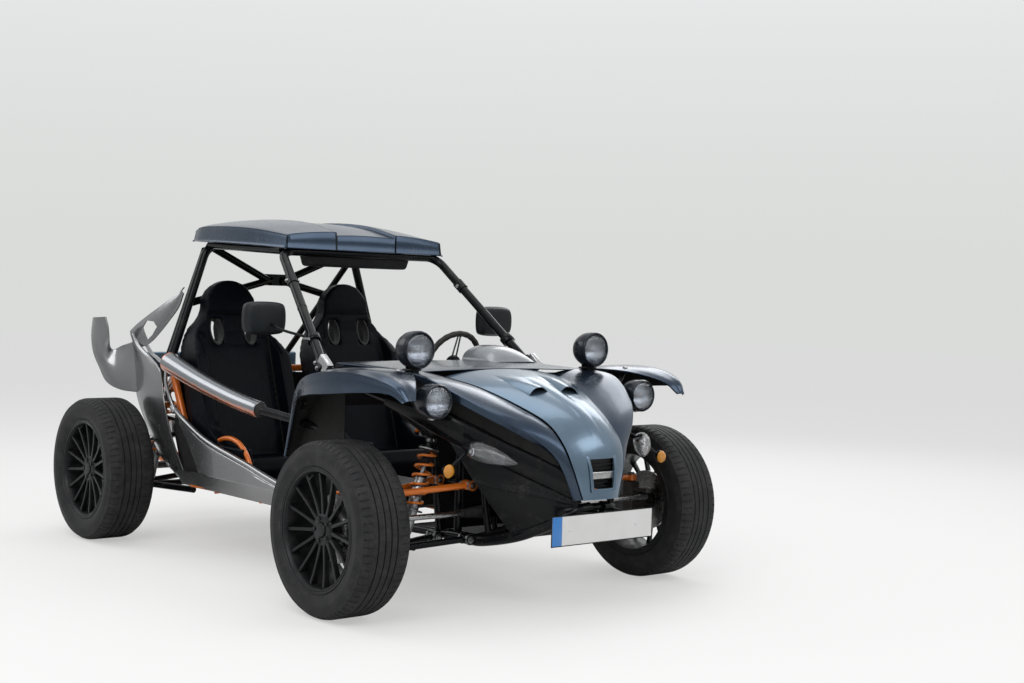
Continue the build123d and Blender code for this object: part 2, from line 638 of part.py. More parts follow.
upper_arm = wishbone(UPPER_BALL_Z, ((LOWER_RAIL_X + 34, -1110, 470), (LOWER_RAIL_X + 34, -905, 470)))
lower_arm = wishbone(LOWER_BALL_Z, ((LOWER_RAIL_X + 36, -1110, 262), (LOWER_RAIL_X + 36, -905, 244)))
SHOCK_BAR_X = 500.0
lower_arm += rod([(SHOCK_BAR_X, -1062, 238), (SHOCK_BAR_X, -945, 232)], 22)
save("front_upper_arms", both_sides(upper_arm))
save("front_lower_arms", both_sides(lower_arm))


def coil_over(bottom, top, coil_r, wire, turns):
    """Damper body, rod, spring seats and a coil of stacked rings."""
    axis = Line(bottom, top)
    length = axis.length
    body = Pos(0, 0, length * 0.32) * Cylinder(22, length * 0.64) + Pos(0, 0, length / 2) * Cylinder(9, length)
    body += Pos(0, 0, length * 0.30) * Cylinder(coil_r + 4, 8)
    body += Pos(0, 0, length * 0.90) * Cylinder(coil_r + 4, 8)
    for index in range(turns):
        z = length * (0.30 + 0.60 * (index + 0.5) / turns)
        body += Pos(0, 0, z) * Torus(coil_r - wire / 2, wire / 2)
        body += Pos(0, 0, z) * Cylinder(coil_r - wire / 2, 3)
    for z in (0, length):
        body += Pos(0, 0, z) * Rot(X=90) * Cylinder(16, 30)
    return Plane(origin=bottom, z_dir=axis % 0) * body


save("front_shocks", both_sides(coil_over((505, -1003, 262), (392, -1010, 640), 38, 11, 6)))

STEER_ARM = 105.0
ARM_EYE_Z = 386.0
PIN_MIDDLE = (UPPER_BALL_Z + LOWER_BALL_Z) / 2
knuckle = Pos(KINGPIN_X, FRONT_AXLE_Y, PIN_MIDDLE) * Box(38, 58, UPPER_BALL_Z - LOWER_BALL_Z - EYE_H - 10)
knuckle += Pos(KINGPIN_X, FRONT_AXLE_Y, PIN_MIDDLE) * Cylinder(PIN_R, UPPER_BALL_Z - LOWER_BALL_Z + EYE_H + 8)
STUB_END = FRONT_WHEEL_X + 26 + STUB_DEPTH - 8
knuckle += Pos((KINGPIN_X + STUB_END) / 2, FRONT_AXLE_Y, FRONT_TYRE_R) * Rot(Y=90) * Cylinder(
    STUB_R, STUB_END - KINGPIN_X)
knuckle += Pos(KINGPIN_X + 30, FRONT_AXLE_Y, FRONT_TYRE_R) * Rot(Y=90) * Cylinder(46, 40)
knuckle += Pos(KINGPIN_X - 6, FRONT_AXLE_Y - 10 - STEER_ARM / 2, ARM_EYE_Z) * Box(18, STEER_ARM - 10, 14)
knuckle += Pos(KINGPIN_X - 6, FRONT_AXLE_Y - STEER_ARM, ARM_EYE_Z) * Cylinder(15, 16)
for side, sign in SIDES:
    save(f"knuckle_{side}", on_side(knuckle, sign))

RACK_Y = FRONT_AXLE_Y - STEER_ARM
RACK_Z = ARM_EYE_Z - 8 - 6 - 11
RACK_R = 11.0
rack_bar = rod([(-KINGPIN_X + 12, RACK_Y, RACK_Z), (KINGPIN_X - 12, RACK_Y, RACK_Z)], 2 * RACK_R)
save("rack_bar", rack_bar)
housing_half = 205.0
rack_housing = Pos(0, RACK_Y, RACK_Z) * Rot(Y=90) * Cylinder(25, 2 * housing_half)
rack_housing += both_sides(rod([(150, RACK_Y, RACK_Z), (150, RACK_Y - 20, 262)], 20))
rack_housing -= Pos(0, RACK_Y, RACK_Z) * Rot(Y=90) * Cylinder(RACK_R + RUNNING_GAP, 2 * housing_half + 10)
save("rack_housing", rack_housing)

steering = Pos(0, 0, 8) * Torus(142, 13)
steering += Pos(0, 0, 125) * Cylinder(COLUMN_D / 2, 300)
steering += Pos(0, 0, 6) * Cylinder(36, 26)
for angle in (90, 210, 330):
    steering += Rot(Z=angle) * Pos(76, 0, 7) * Box(132, 24, 6)
save("steering_wheel", column_path * steering)

# Rear suspension: hub carriers on a trailing link and two side links, coil-over struts

CARRIER_X = 628.0
REAR_HUB_Z = REAR_TYRE_R
carrier = Pos(CARRIER_X, REAR_AXLE_Y, REAR_HUB_Z) * Box(36, 90, 230)
REAR_STUB_END = REAR_WHEEL_X + 26 + STUB_DEPTH - 8
carrier += Pos((CARRIER_X + REAR_STUB_END) / 2, REAR_AXLE_Y, REAR_HUB_Z) * Rot(Y=90) * Cylinder(
    STUB_R, REAR_STUB_END - CARRIER_X)
carrier += Pos(CARRIER_X + 40, REAR_AXLE_Y, REAR_HUB_Z) * Rot(Y=90) * Cylinder(46, 60)
carrier += rod([(CARRIER_X - 4, REAR_AXLE_Y - 20, 262), (538, 590, 268)], 30)
carrier += rod([(CARRIER_X - 4, REAR_AXLE_Y + 25, 245), (300, REAR_AXLE_Y + 120, 262)], 28)
carrier += rod([(CARRIER_X - 4, REAR_AXLE_Y + 25, 425), (330, REAR_AXLE_Y + 120, 470)], 28)
carrier += rod([(CARRIER_X - 4, REAR_AXLE_Y - 25, 245), (270, REAR_AXLE_Y - 130, 262)], 28)
save("rear_arms", both_sides(carrier))
save("rear_shocks", both_sides(coil_over((560, 985, 262), (470, 1000, 690), 42, 12, 6)))

engine = Pos(0, 1085, 480) * Box(440, 440, 400)
engine = fillet(engine.edges(), 24)
engine += both_sides(rod([(200, REAR_AXLE_Y, REAR_HUB_Z), (CARRIER_X - 18, REAR_AXLE_Y, REAR_HUB_Z)], 34))
engine += both_sides(rod([(180, 1000, 320), (262, 1000, 250)], 40))
save("engine_block", engine)

silencer = Pos(0, 1504, 470) * Rot(Y=90) * Cylinder(60, 420)
silencer += rod([(0, 1300, 430), (0, 1500, 460)], 46)
silencer += both_sides(rod([(150, 1480, 515), (150, 1425, 585)], 16))
silencer += rod([(190, 1504, 470), (245, 1504, 470), (245, TAIL_Y, 470)], 44, 30)
save("exhaust", silencer)

tail = Pos(0, 1430, 800) * Box(1040, 24, 130)
tail = fillet(tail.edges(), 10)
for x in (330, 440):
    tail += both_sides(Pos(x, 1450, 800) * Rot(X=90) * Cylinder(42, 30))
tail += Pos(0, 1448, 790) * Box(300, 14, 120)
tail += both_sides(rod([(280, 1425, 740), (280, 1420, 600)], 20))
save("tail_panel", tail)

# Pieces welded, clamped or bolted to others give way where they meet

YIELDS = (
    ("cage_rear", ("cage_front",)),
    ("nose_grille", ("bonnet",)),
    ("frame_floor", ("frame_nose",)),
    ("frame_front", ("frame_nose", "frame_floor", "cage_front", "rack_housing", "bonnet", "nose_grille")),
    ("frame_rear", ("frame_floor", "cage_rear")),
    ("floor_pan", ("frame_nose", "frame_front", "frame_floor", "frame_rear")),
    ("roof_panel", ("cage_front", "cage_rear")),
    ("overhead_console", ("cage_front", "roof_panel")),
    ("scuttle", ("frame_front", "cage_front")),
    ("side_bars", ("cage_rear", "frame_front", "frame_rear")),
    ("front_fenders", ("frame_front", "scuttle", "cage_front", "side_bars")),
    ("sill_panels", ("frame_front", "frame_floor", "frame_rear")),
    ("rear_quarters", ("frame_floor", "frame_rear", "cage_rear", "side_bars", "sill_panels")),
    ("seats", ("floor_pan", "frame_floor", "frame_rear", "cage_rear")),
    ("spot_lamps", ("scuttle", "front_fenders")),
    ("head_lamps", ("frame_front", "scuttle", "front_fenders")),
    ("running_lamps", ("frame_front", "frame_nose", "scuttle")),
    ("mirrors", ("cage_front",)),
    ("number_plate", ("frame_nose", "frame_front", "bonnet")),
    ("rack_housing", ("frame_nose",)),
    ("front_upper_arms", ("frame_front",)),
    ("front_lower_arms", ("frame_nose", "frame_front")),
    ("front_shocks", ("frame_front", "front_lower_arms", "front_upper_arms")),
    ("rear_arms", ("frame_floor", "frame_rear")),
    ("rear_shocks", ("frame_rear", "rear_arms")),
    ("engine_block", ("frame_floor", "frame_rear", "rear_arms")),
    ("exhaust", ("frame_rear", "engine_block")),
    ("tail_panel", ("frame_rear", "rear_quarters", "cage_rear")),
)


def named(prefix):
    return [name for name in parts if name == prefix or name in (f"{prefix}_left", f"{prefix}_right")]


for prefix, keepers in YIELDS:
    for name in named(prefix):
        for keeper in keepers:
            for other in named(keeper):
                if parts[name].bounding_box().overlaps(parts[other].bounding_box(), 0.0):
                    parts[name] = parts[name] - parts[other]

# Sharp offcuts that the fitting above leaves beside a joint are smaller than this, in cubic millimetres
OFFCUT = 500.0

for name, part in parts.items():
    part = Compound(children=[solid for solid in part.solids() if solid.volume > OFFCUT])
    part.label = name
    export_step(part, f"parts/{name}.step")
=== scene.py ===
from math import atan2, cos, pi, radians, sin, sqrt

import bmesh
import bpy
from mathutils import Matrix, Vector


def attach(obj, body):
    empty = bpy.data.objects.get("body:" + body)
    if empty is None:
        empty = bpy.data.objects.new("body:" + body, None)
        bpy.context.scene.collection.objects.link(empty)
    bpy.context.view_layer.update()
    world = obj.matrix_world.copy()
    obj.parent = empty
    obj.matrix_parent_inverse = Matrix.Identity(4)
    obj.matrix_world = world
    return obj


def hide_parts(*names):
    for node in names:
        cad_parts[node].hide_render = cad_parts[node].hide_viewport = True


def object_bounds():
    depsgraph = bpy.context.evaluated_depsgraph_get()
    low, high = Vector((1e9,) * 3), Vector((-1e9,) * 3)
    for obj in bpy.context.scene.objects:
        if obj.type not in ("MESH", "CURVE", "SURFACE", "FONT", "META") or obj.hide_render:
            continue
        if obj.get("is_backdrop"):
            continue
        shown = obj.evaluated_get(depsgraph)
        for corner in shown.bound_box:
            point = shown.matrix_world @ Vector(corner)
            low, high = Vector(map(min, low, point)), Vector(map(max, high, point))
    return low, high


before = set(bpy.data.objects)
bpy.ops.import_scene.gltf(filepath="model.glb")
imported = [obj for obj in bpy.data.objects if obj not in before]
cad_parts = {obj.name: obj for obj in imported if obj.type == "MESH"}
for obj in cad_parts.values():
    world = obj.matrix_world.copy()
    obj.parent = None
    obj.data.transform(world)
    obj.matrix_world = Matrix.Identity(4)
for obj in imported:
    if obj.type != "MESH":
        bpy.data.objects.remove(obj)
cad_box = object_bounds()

# Camera: where the photographer stood, off the right front corner of the buggy and a little over a metre
# above the road, with a lens of about 52 mm, tilted a touch clockwise.

EYE = Vector((-3.880, -5.575, 1.201))
YAW, PITCH, ROLL = radians(40.378), radians(-1.733), radians(1.644)
LENS, SENSOR = 52.48, 36.0


def stand(name, data):
    """Puts an object into the scene."""
    thing = bpy.data.objects.new(name, data)
    bpy.context.scene.collection.objects.link(thing)
    return thing


ahead = Vector((sin(YAW) * cos(PITCH), cos(YAW) * cos(PITCH), sin(PITCH)))
level = Vector((cos(YAW), -sin(YAW), 0))
upright = level.cross(ahead)
screen_x = level * cos(ROLL) + upright * sin(ROLL)
screen_y = upright * cos(ROLL) - level * sin(ROLL)
camera = stand("camera", bpy.data.cameras.new("camera"))
camera.data.sensor_width = SENSOR
camera.data.lens = LENS
camera.matrix_world = Matrix((screen_x, screen_y, -ahead)).transposed().to_4x4()
camera.matrix_world.translation = EYE
bpy.context.scene.camera = camera
bpy.context.scene.view_settings.view_transform = "Standard"

# Studio: a pale seamless floor and a wall of pale light all round, with large soft boxes above and at the
# sides. The floor shows nearly white to the eye and to glossy paint, and keeps the shadow under the wheels.


class Signal:
    """One output of a shader node. Sums and products of signals add Math nodes."""

    def __init__(self, nodes, socket):
        self.nodes = nodes
        self.socket = socket

    def maths(self, operation, first, second=0.0):
        return self.nodes.make("Math", {"operation": operation}, {0: first, 1: second})

    def __add__(self, other):
        return self.maths("ADD", self, other)

    __radd__ = __add__

    def __rsub__(self, other):
        return self.maths("SUBTRACT", other, self)

    def __mul__(self, other):
        return self.maths("MULTIPLY", self, other)

    __rmul__ = __mul__

    def fade(self, low, high):
        """Runs smoothly from 0 at low to 1 at high."""
        return self.nodes.make("MapRange", {"interpolation_type": "SMOOTHSTEP"}, {0: self, 1: low, 2: high})


class Nodes:
    """The shader nodes of one material or of the world."""

    def __init__(self, owner):
        owner.use_nodes = True
        self.tree = owner.node_tree

    def make(self, kind, settings, sockets, output=0):
        """A node of one kind with its settings, then its sockets' values or links."""
        node = self.tree.nodes.new("ShaderNode" + kind)
        for name, value in settings.items():
            setattr(node, name, value)
        for name, value in sockets.items():
            if isinstance(value, Signal):
                self.tree.links.new(value.socket, node.inputs[name])
            else:
                node.inputs[name].default_value = value
        return Signal(self, node.outputs[output])


class Finish(Nodes):
    """A material on a Principled shader: fixed numbers are set at once, and signals feed what varies."""

    def __init__(self, name, **fixed):
        self.material = bpy.data.materials.new(name)
        super().__init__(self.material)
        self.shader = self.tree.nodes["Principled BSDF"]
        for socket, value in fixed.items():
            self.shader.inputs[socket.replace("_", " ")].default_value = value

    def place(self, scale=(1, 1, 1)):
        """The point on the object, in metres, scaled."""
        point = self.make("TexCoord", {}, {}, "Object")
        return self.make("Mapping", {}, {"Vector": point, "Scale": scale})

    def noise(self, size, detail=3.0, roughness=0.5, stretch=(1, 1, 1)):
        """Cloudy noise from 0 to 1 whose clouds are about size metres across."""
        return self.make("TexNoise", {}, {"Vector": self.place(stretch), "Scale": 1.0 / size,
                                          "Detail": detail, "Roughness": roughness})

    def specks(self, size):
        """Distance from scattered points about size metres apart."""
        return self.make("TexVoronoi", {}, {"Vector": self.place(), "Scale": 1.0 / size})

    def facets(self, scale):
        """Square cells, as pressed into a reflector."""
        return self.make("TexVoronoi", {"distance": "CHEBYCHEV"}, {"Vector": self.place(), "Scale": scale})

    def mix(self, share, first, second):
        """From the first colour to the second."""
        return self.make("Mix", {"data_type": "RGBA"}, {0: share, 6: first, 7: second}, 2)

    def bump(self, height, depth):
        return self.make("Bump", {}, {"Height": height, "Distance": depth, "Strength": 1.0})

    def feed(self, **varying):
        for socket, signal in varying.items():
            self.tree.links.new(signal.socket, self.shader.inputs[socket.replace("_", " ")])


FLOOR_SIZE = 60.0
FLOOR_TONE = (0.80, 0.80, 0.79, 1)
FLOOR_GLOW = 1.05
FLOOR_LIFT = 0.55
SKY_TONE = (0.93, 0.95, 0.97, 1)
HORIZON_TONE = (0.70, 0.712, 0.70, 1)
HORIZON_HEIGHT = 0.45
AMBIENT = 0.70
SOFT_BOXES = (
    # place, aimed at, width, height, watts
    ((-4.5, -3.5, 4.5), (0, -0.4, 0.6), 4.0, 3.0, 170),
    ((2.5, -5.0, 4.2), (0, -0.6, 0.6), 4.0, 2.5, 90),
    ((5.0, 2.0, 4.0), (0, 0, 0.7), 3.5, 2.5, 75),
    ((-3.5, 4.5, 4.0), (0, 0.3, 0.7), 3.5, 2.5, 75),
    ((0.0, 0.0, 5.5), (0, 0, 0), 5.0, 3.0, 90),
)

backdrop = bpy.data.worlds.new("studio")
bpy.context.scene.world = backdrop
sky = Nodes(backdrop)
in_sight, in_gloss, in_glass = (sky.make("LightPath", {}, {}, f"Is {ray} Ray")
                                for ray in ("Camera", "Glossy", "Transmission"))
shown = in_sight.maths("MAXIMUM", in_sight.maths("MAXIMUM", in_sight, in_gloss), in_glass)
height = sky.make("SeparateXYZ", {}, {0: sky.make("TexCoord", {}, {}, "Generated")}, 2)
wall_tone = sky.make("Mix", {"data_type": "RGBA"}, {0: height.fade(0.0, HORIZON_HEIGHT), 6: HORIZON_TONE,
                                                    7: SKY_TONE}, 2)
background = sky.tree.nodes["Background"].inputs
sky.tree.links.new(wall_tone.socket, background["Color"])
sky.tree.links.new((shown * (1 - AMBIENT) + AMBIENT).socket, background["Strength"])

ground = bmesh.new()
bmesh.ops.create_grid(ground, x_segments=1, y_segments=1, size=FLOOR_SIZE / 2)
floor = stand("floor", bpy.data.meshes.new("floor"))
ground.to_mesh(floor.data)
ground.free()
floor_finish = Finish("floor", Base_Color=FLOOR_TONE, Roughness=0.9, Specular_IOR_Level=0.1)
glow = floor_finish.make("Emission", {}, {"Color": FLOOR_TONE, "Strength": FLOOR_GLOW})
seen_here = floor_finish.make("LightPath", {}, {}, "Is Camera Ray")
lifted = floor_finish.make("MixShader", {}, {0: seen_here * FLOOR_LIFT})
lifted_node = lifted.socket.node
floor_finish.tree.links.new(floor_finish.shader.outputs[0], lifted_node.inputs[1])
floor_finish.tree.links.new(glow.socket, lifted_node.inputs[2])
floor_finish.tree.links.new(lifted.socket, floor_finish.tree.nodes["Material Output"].inputs["Surface"])
floor.data.materials.append(floor_finish.material)
floor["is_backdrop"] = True

for number, (place, aim, width, tall, watts) in enumerate(SOFT_BOXES):
    light = bpy.data.lights.new(f"soft_box_{number}", "AREA")
    light.shape = "RECTANGLE"
    light.size = width
    light.size_y = tall
    light.energy = watts
    holder = stand(f"soft_box_{number}", light)
    holder.location = place
    holder.rotation_euler = (Vector(aim) - Vector(place)).to_track_quat("-Z", "Y").to_euler()

# Tyres: black rubber on 17 inch rims, moulded with four ring grooves in the outer half of the tread, cross
# cuts in the ribs and shoulders, and smooth sidewalls with a bead ridge. Road dust greys the rubber.

WHEELS = (
    # end, side, sign, axle x, axle y, radius, width
    ("front", "left", 1, 0.805, -1.000, 0.328, 0.218),
    ("front", "right", -1, 0.805, -1.000, 0.328, 0.218),
    ("rear", "left", 1, 0.774, 1.046, 0.333, 0.230),
    ("rear", "right", -1, 0.774, 1.046, 0.333, 0.230),
)
TREAD_STEPS = 216
GROOVES = (-0.046, -0.016, 0.010, 0.036)
GROOVE_HALF, GROOVE_FLOOR_HALF, GROOVE_DEPTH = 0.00275, 0.00165, 0.0065
OUTER_RIBS, INNER_RIBS = (-0.088, -0.078, -0.066), (0.052, 0.068, 0.080, 0.089)
BEAD_R = 0.2335
SHOULDER_DROP, SHOULDER_START, SHOULDER_INSET = 0.026, 0.55, 0.0085
SHOULDER_SLANT = radians(2.2)
CUT_LENGTH = 0.012
SHOULDER_CUT, RIB_CUT = (0.0033, 0.0028), (0.0040, 0.0012)


def piece(name, mesh, body, slot, *finishes, smooth=40, replaces=None):
    """Closes a bmesh into an object that rides on a body, shaded smooth up to an angle in degrees."""
    bmesh.ops.remove_doubles(mesh, verts=mesh.verts, dist=1e-6)
    for edge in mesh.edges:
        edge.smooth = len(edge.link_faces) == 2 and edge.calc_face_angle(0) < radians(smooth)
    for face in mesh.faces:
        face.smooth = True
    data = bpy.data.meshes.new(name)
    mesh.to_mesh(data)
    mesh.free()
    for finish in finishes:
        data.materials.append(finish.material)
    thing = stand(name, data)
    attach(thing, body)
    if replaces:
        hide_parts(replaces)
    return thing


def outline(mesh, points, closed=False):
    """A string of edges through the points: its corners and its edges."""
    corners = [mesh.verts.new(point) for point in points]
    ends = corners[1:] + corners[:1] if closed else corners[1:]
    return corners, [mesh.edges.new(pair) for pair in zip(corners, ends)]


def turn_round(mesh, profile, centre, axis=(1, 0, 0), steps=48):
    """Spins a profile a full turn about an axis."""
    corners, edges = profile
    bmesh.ops.spin(mesh, geom=corners + edges, cent=centre, axis=axis, angle=2 * pi, steps=steps,
                   use_merge=True)
    bmesh.ops.remove_doubles(mesh, verts=mesh.verts, dist=1e-6)
    bmesh.ops.recalc_face_normals(mesh, faces=mesh.faces)


def tread_section(radius, width):
    """The tyre's section as (distance across, radius) from the outer bead to the inner one, and the radius
    of the tread at a distance across: a flat crown with rounded shoulders."""
    half = width / 2

    def tread_r(x):
        edge = max(0.0, (abs(x) / half - SHOULDER_START) / (1 - SHOULDER_START))
        return radius - 0.0008 - SHOULDER_DROP * edge ** 2.6

    side = [(-0.093, 0.2205), (-0.097, BEAD_R), (-0.101, BEAD_R + 0.004), (-half + 0.007, BEAD_R + 0.016),
            (-half + 0.0015, BEAD_R + 0.036), (-half + 0.0005, radius - 0.052),
            (-half + 0.004, radius - 0.036), (-half + 0.0075, radius - 0.0275)]
    shoulder = half - SHOULDER_INSET
    crown = [(x, tread_r(x)) for x in (-shoulder,) + OUTER_RIBS]
    for x in GROOVES:
        crown += [(x - GROOVE_HALF, tread_r(x)), (x - GROOVE_FLOOR_HALF, tread_r(x) - GROOVE_DEPTH),
                  (x + GROOVE_FLOOR_HALF, tread_r(x) - GROOVE_DEPTH), (x + GROOVE_HALF, tread_r(x))]
    crown += [(x, tread_r(x)) for x in INNER_RIBS + (shoulder,)]
    return side + crown + [(-x, r) for x, r in reversed(side)], tread_r


def cut_tread(tyre, centre, sign, half, tread_r):
    """Presses the cross cuts into the shoulders at every third step, and shallow ones into the ribs between
    the grooves at every sixth."""
    shoulder_cuts, rib_cuts = [], []
    for face in tyre.faces:
        middle = face.calc_center_median() - centre
        x, r = -sign * middle.x, sqrt(middle.y ** 2 + middle.z ** 2)
        step = round((atan2(middle.z, middle.y) / (2 * pi) % 1) * TREAD_STEPS - 0.5)
        size = face.edges[0].calc_length() + face.edges[1].calc_length()
        if r <= tread_r(x) - 0.002 or abs(x) >= half - SHOULDER_INSET - 0.001 or size <= CUT_LENGTH:
            continue
        if not OUTER_RIBS[-1] <= x <= INNER_RIBS[0]:
            if step % 3 == 0:
                shoulder_cuts.append(face)
        elif step % 6 == (1 if x < 0 else 4):
            rib_cuts.append(face)
    for faces, (inset, depth) in ((shoulder_cuts, SHOULDER_CUT), (rib_cuts, RIB_CUT)):
        bmesh.ops.inset_individual(tyre, faces=faces, thickness=inset, depth=-depth, use_even_offset=True)


rubber = Finish("tyre_rubber", Specular_IOR_Level=0.18)
dust = rubber.noise(0.06, detail=6, roughness=0.7)
fine_dust = rubber.noise(0.008, detail=3)
dusty = (dust * 0.7 + fine_dust * 0.3).fade(0.40, 0.80)
rubber.feed(
    Base_Color=rubber.mix(dusty, (0.011, 0.011, 0.012, 1), (0.040, 0.039, 0.037, 1)),
    Roughness=dusty * 0.2 + 0.6,
    Normal=rubber.bump(rubber.noise(0.0012, detail=2), 0.00012),
)
for end, side, sign, axle_x, axle_y, radius, width in WHEELS:
    centre = Vector((sign * axle_x, axle_y, radius))
    section, tread_r = tread_section(radius, width)
    tyre = bmesh.new()
    profile = outline(tyre, [centre + Vector((-sign * x, 0, r)) for x, r in section])
    turn_round(tyre, profile, centre, steps=TREAD_STEPS)
    cut_tread(tyre, centre, sign, width / 2, tread_r)
    for column in (-1, 1):
        far = [vert for vert in tyre.verts if column * (vert.co - centre).x > -GROOVES[0]]
        slant = Matrix.Rotation(column * SHOULDER_SLANT, 3, "X")
        bmesh.ops.rotate(tyre, verts=far, cent=centre, matrix=slant)
    piece(f"tread_{end}_{side}", tyre, f"wheel_{end}_{side}", "tyre", rubber, smooth=32,
          replaces=f"tyre_{end}_{side}")

# Rims: cast light alloy, painted satin dark grey, with a double ring at the edge, fifteen slim straight
# spokes and a small hub that carries five nuts in pockets and a centre cap of the same alloy. A brake
# disc stands behind each.

SPOKES = 15
SPOKE_SIDE = ((0.046, 0.050), (0.052, 0.120), (0.060, 0.172), (0.062, 0.209), (0.088, 0.209), (0.080, 0.165),
              (0.0745, 0.120), (0.0715, 0.085), (0.069, 0.050))
SPOKE_HALF = 0.0062
BARREL = ((-0.101, 0.2065), (-0.101, 0.232), (-0.099, 0.234), (-0.094, 0.234), (-0.094, 0.2192),
          (0.094, 0.2192), (0.094, 0.2335), (0.0985, 0.2335), (0.101, 0.2315), (0.101, 0.2285),
          (0.0975, 0.2265), (0.0965, 0.2215), (0.0985, 0.2195), (0.0980, 0.2160), (0.0930, 0.2125),
          (0.0850, 0.2085), (0.060, 0.2055), (0.0, 0.196), (-0.060, 0.198))
HUB = ((0.026, 0.023), (0.026, 0.061), (0.061, 0.0615), (0.0665, 0.060), (0.0705, 0.056), (0.0722, 0.050),
       (0.0728, 0.030), (0.066, 0.0275), (0.064, 0.023))
CAP = ((0.064, 0.0), (0.064, 0.0265), (0.0755, 0.0262), (0.0785, 0.0235), (0.0795, 0.012), (0.0797, 0.0))
# Each nut's pocket is drawn as a thin dark disc under the nut: painted shade.
POCKET_SHADE = ((0.0725, 0.0), (0.0729, 0.0112), (0.0735, 0.0116), (0.0729, 0.0125))
NUT = ((0.0726, 0.0085), (0.0775, 0.0085), (0.0785, 0.0070), (0.0785, 0.0))
NUTS, NUT_RING = 5, 0.043
VALVE = ((0.0, 0.004), (0.012, 0.0036), (0.014, 0.0042), (0.021, 0.0040), (0.022, 0.0))
VALVE_X, VALVE_R, VALVE_TURN = 0.086, 0.201, 0.21
DISC = ((0.004, 0.052), (0.004, 0.128), (0.012, 0.128), (0.012, 0.062), (0.022, 0.060), (0.022, 0.052))


def join(mesh, extra, material=0):
    """Moves everything in the second mesh into the first."""
    for face in extra.faces:
        face.material_index = material
    carrier = bpy.data.meshes.new("carrier")
    extra.to_mesh(carrier)
    extra.free()
    mesh.from_mesh(carrier)
    bpy.data.meshes.remove(carrier)


def add_turned(mesh, profile, centre, axis=(0, 1, 0), out=(0, 0, 1), steps=48, closed=False, material=0):
    """Turns a profile of (distance along the axis, radius) about the axis, and joins it to a mesh."""
    axis = Vector(axis).normalized()
    out = Vector(out).normalized()
    extra = bmesh.new()
    strip = outline(extra, [Vector(centre) + axis * x + out * r for x, r in profile], closed)
    turn_round(extra, strip, centre, axis, steps)
    join(mesh, extra, material)


def rounded(mesh, width, segments=2, sharp=30):
    """Bevels every edge that is sharper than an angle."""
    edges = [edge for edge in mesh.edges
             if len(edge.link_faces) == 2 and edge.calc_face_angle(0) > radians(sharp)]
    bmesh.ops.bevel(mesh, geom=edges, offset=width, offset_type="OFFSET", segments=segments, profile=0.5,
                    affect="EDGES", material=-1, clamp_overlap=True)


def plate_from(mesh, corners, thickness):
    """A flat polygon drawn out by a vector."""
    face = mesh.faces.new([mesh.verts.new(corner) for corner in corners])
    grown = bmesh.ops.extrude_face_region(mesh, geom=[face])["geom"]
    moved = [item for item in grown if isinstance(item, bmesh.types.BMVert)]
    bmesh.ops.translate(mesh, verts=moved, vec=Vector(thickness))
    bmesh.ops.recalc_face_normals(mesh, faces=mesh.faces)


def add_spokes(rim, centre, axis):
    """One straight spoke, waisted at the middle of its length, and its copies round the hub."""
    spoke = bmesh.new()
    edge = Vector((0, SPOKE_HALF, 0))
    plate_from(spoke, [centre + axis * x + Vector((0, 0, r)) - edge for x, r in SPOKE_SIDE], edge * 2)
    start, end = SPOKE_SIDE[0][1], SPOKE_SIDE[3][1]
    for vert in spoke.verts:
        share = ((vert.co - centre).z - start) / (end - start)
        vert.co.y = centre.y + (vert.co.y - centre.y) * (1.25 - 0.9 * share + 0.75 * share ** 2)
    rounded(spoke, 0.0022)
    bmesh.ops.spin(spoke, geom=spoke.verts[:] + spoke.edges[:] + spoke.faces[:], cent=centre, axis=axis,
                   angle=2 * pi * (SPOKES - 1) / SPOKES, steps=SPOKES - 1, use_duplicate=True)
    join(rim, spoke)


alloy = Finish("rim_paint", Metallic=0.6, Coat_Weight=0.05, Coat_Roughness=0.3, Specular_IOR_Level=0.2)
road_film = (alloy.noise(0.05, detail=5) * 0.6 + alloy.noise(0.004, detail=2) * 0.4).fade(0.42, 0.75)
alloy.feed(
    Base_Color=alloy.mix(road_film, (0.010, 0.011, 0.012, 1), (0.030, 0.029, 0.027, 1)),
    Roughness=road_film * 0.25 + 0.36,
    Normal=alloy.bump(alloy.noise(0.0006, detail=2), 0.00005),
)
bright_steel = Finish("bright_steel", Metallic=1.0)
smudge = bright_steel.noise(0.02, detail=4)
bright_steel.feed(
    Base_Color=bright_steel.mix(smudge, (0.42, 0.42, 0.43, 1), (0.27, 0.265, 0.26, 1)),
    Roughness=smudge * 0.25 + 0.16,
)
# Near-black for small black parts such as the valves, switches and belt rings. Where it stands for the
# insides of the nut pockets and the bonnet slits, it is painted shade.
black_and_painted_shade = Finish("black_and_painted_shade", Base_Color=(0.012, 0.012, 0.013, 1), Metallic=0.3)
black_and_painted_shade.feed(Roughness=black_and_painted_shade.noise(0.003) * 0.3 + 0.5)

for end, side, sign, axle_x, axle_y, radius, width in WHEELS:
    centre, axis = Vector((sign * axle_x, axle_y, radius)), Vector((sign, 0, 0))
    rim = bmesh.new()
    add_turned(rim, BARREL, centre, axis, steps=120, closed=True)
    add_turned(rim, HUB, centre, axis, steps=60, closed=True)
    add_spokes(rim, centre, axis)
    add_turned(rim, CAP, centre, axis, steps=40)
    for index in range(NUTS):
        turn = 2 * pi * index / NUTS
        seat = centre + Vector((0, cos(turn), sin(turn))) * NUT_RING
        # A dark disc under each nut: painted shade for its pocket.
        add_turned(rim, POCKET_SHADE, seat, axis, steps=24, material=2)
        add_turned(rim, NUT, seat, axis, steps=6)
    outwards = Vector((0, sin(VALVE_TURN), cos(VALVE_TURN)))
    add_turned(rim, VALVE, centre + axis * VALVE_X + outwards * VALVE_R, axis * 0.8 - outwards * 0.6,
               (0, cos(VALVE_TURN), -sin(VALVE_TURN)), steps=12, material=2)
    body = f"wheel_{end}_{side}"
    piece(f"alloy_{end}_{side}", rim, body, "rim_paint", alloy, bright_steel, black_and_painted_shade, smooth=35,
          replaces=f"rim_{end}_{side}")
    disc = bmesh.new()
    add_turned(disc, DISC, centre, axis, steps=64, closed=True)
    piece(f"brake_disc_{end}_{side}", disc, body, "steel", bright_steel)
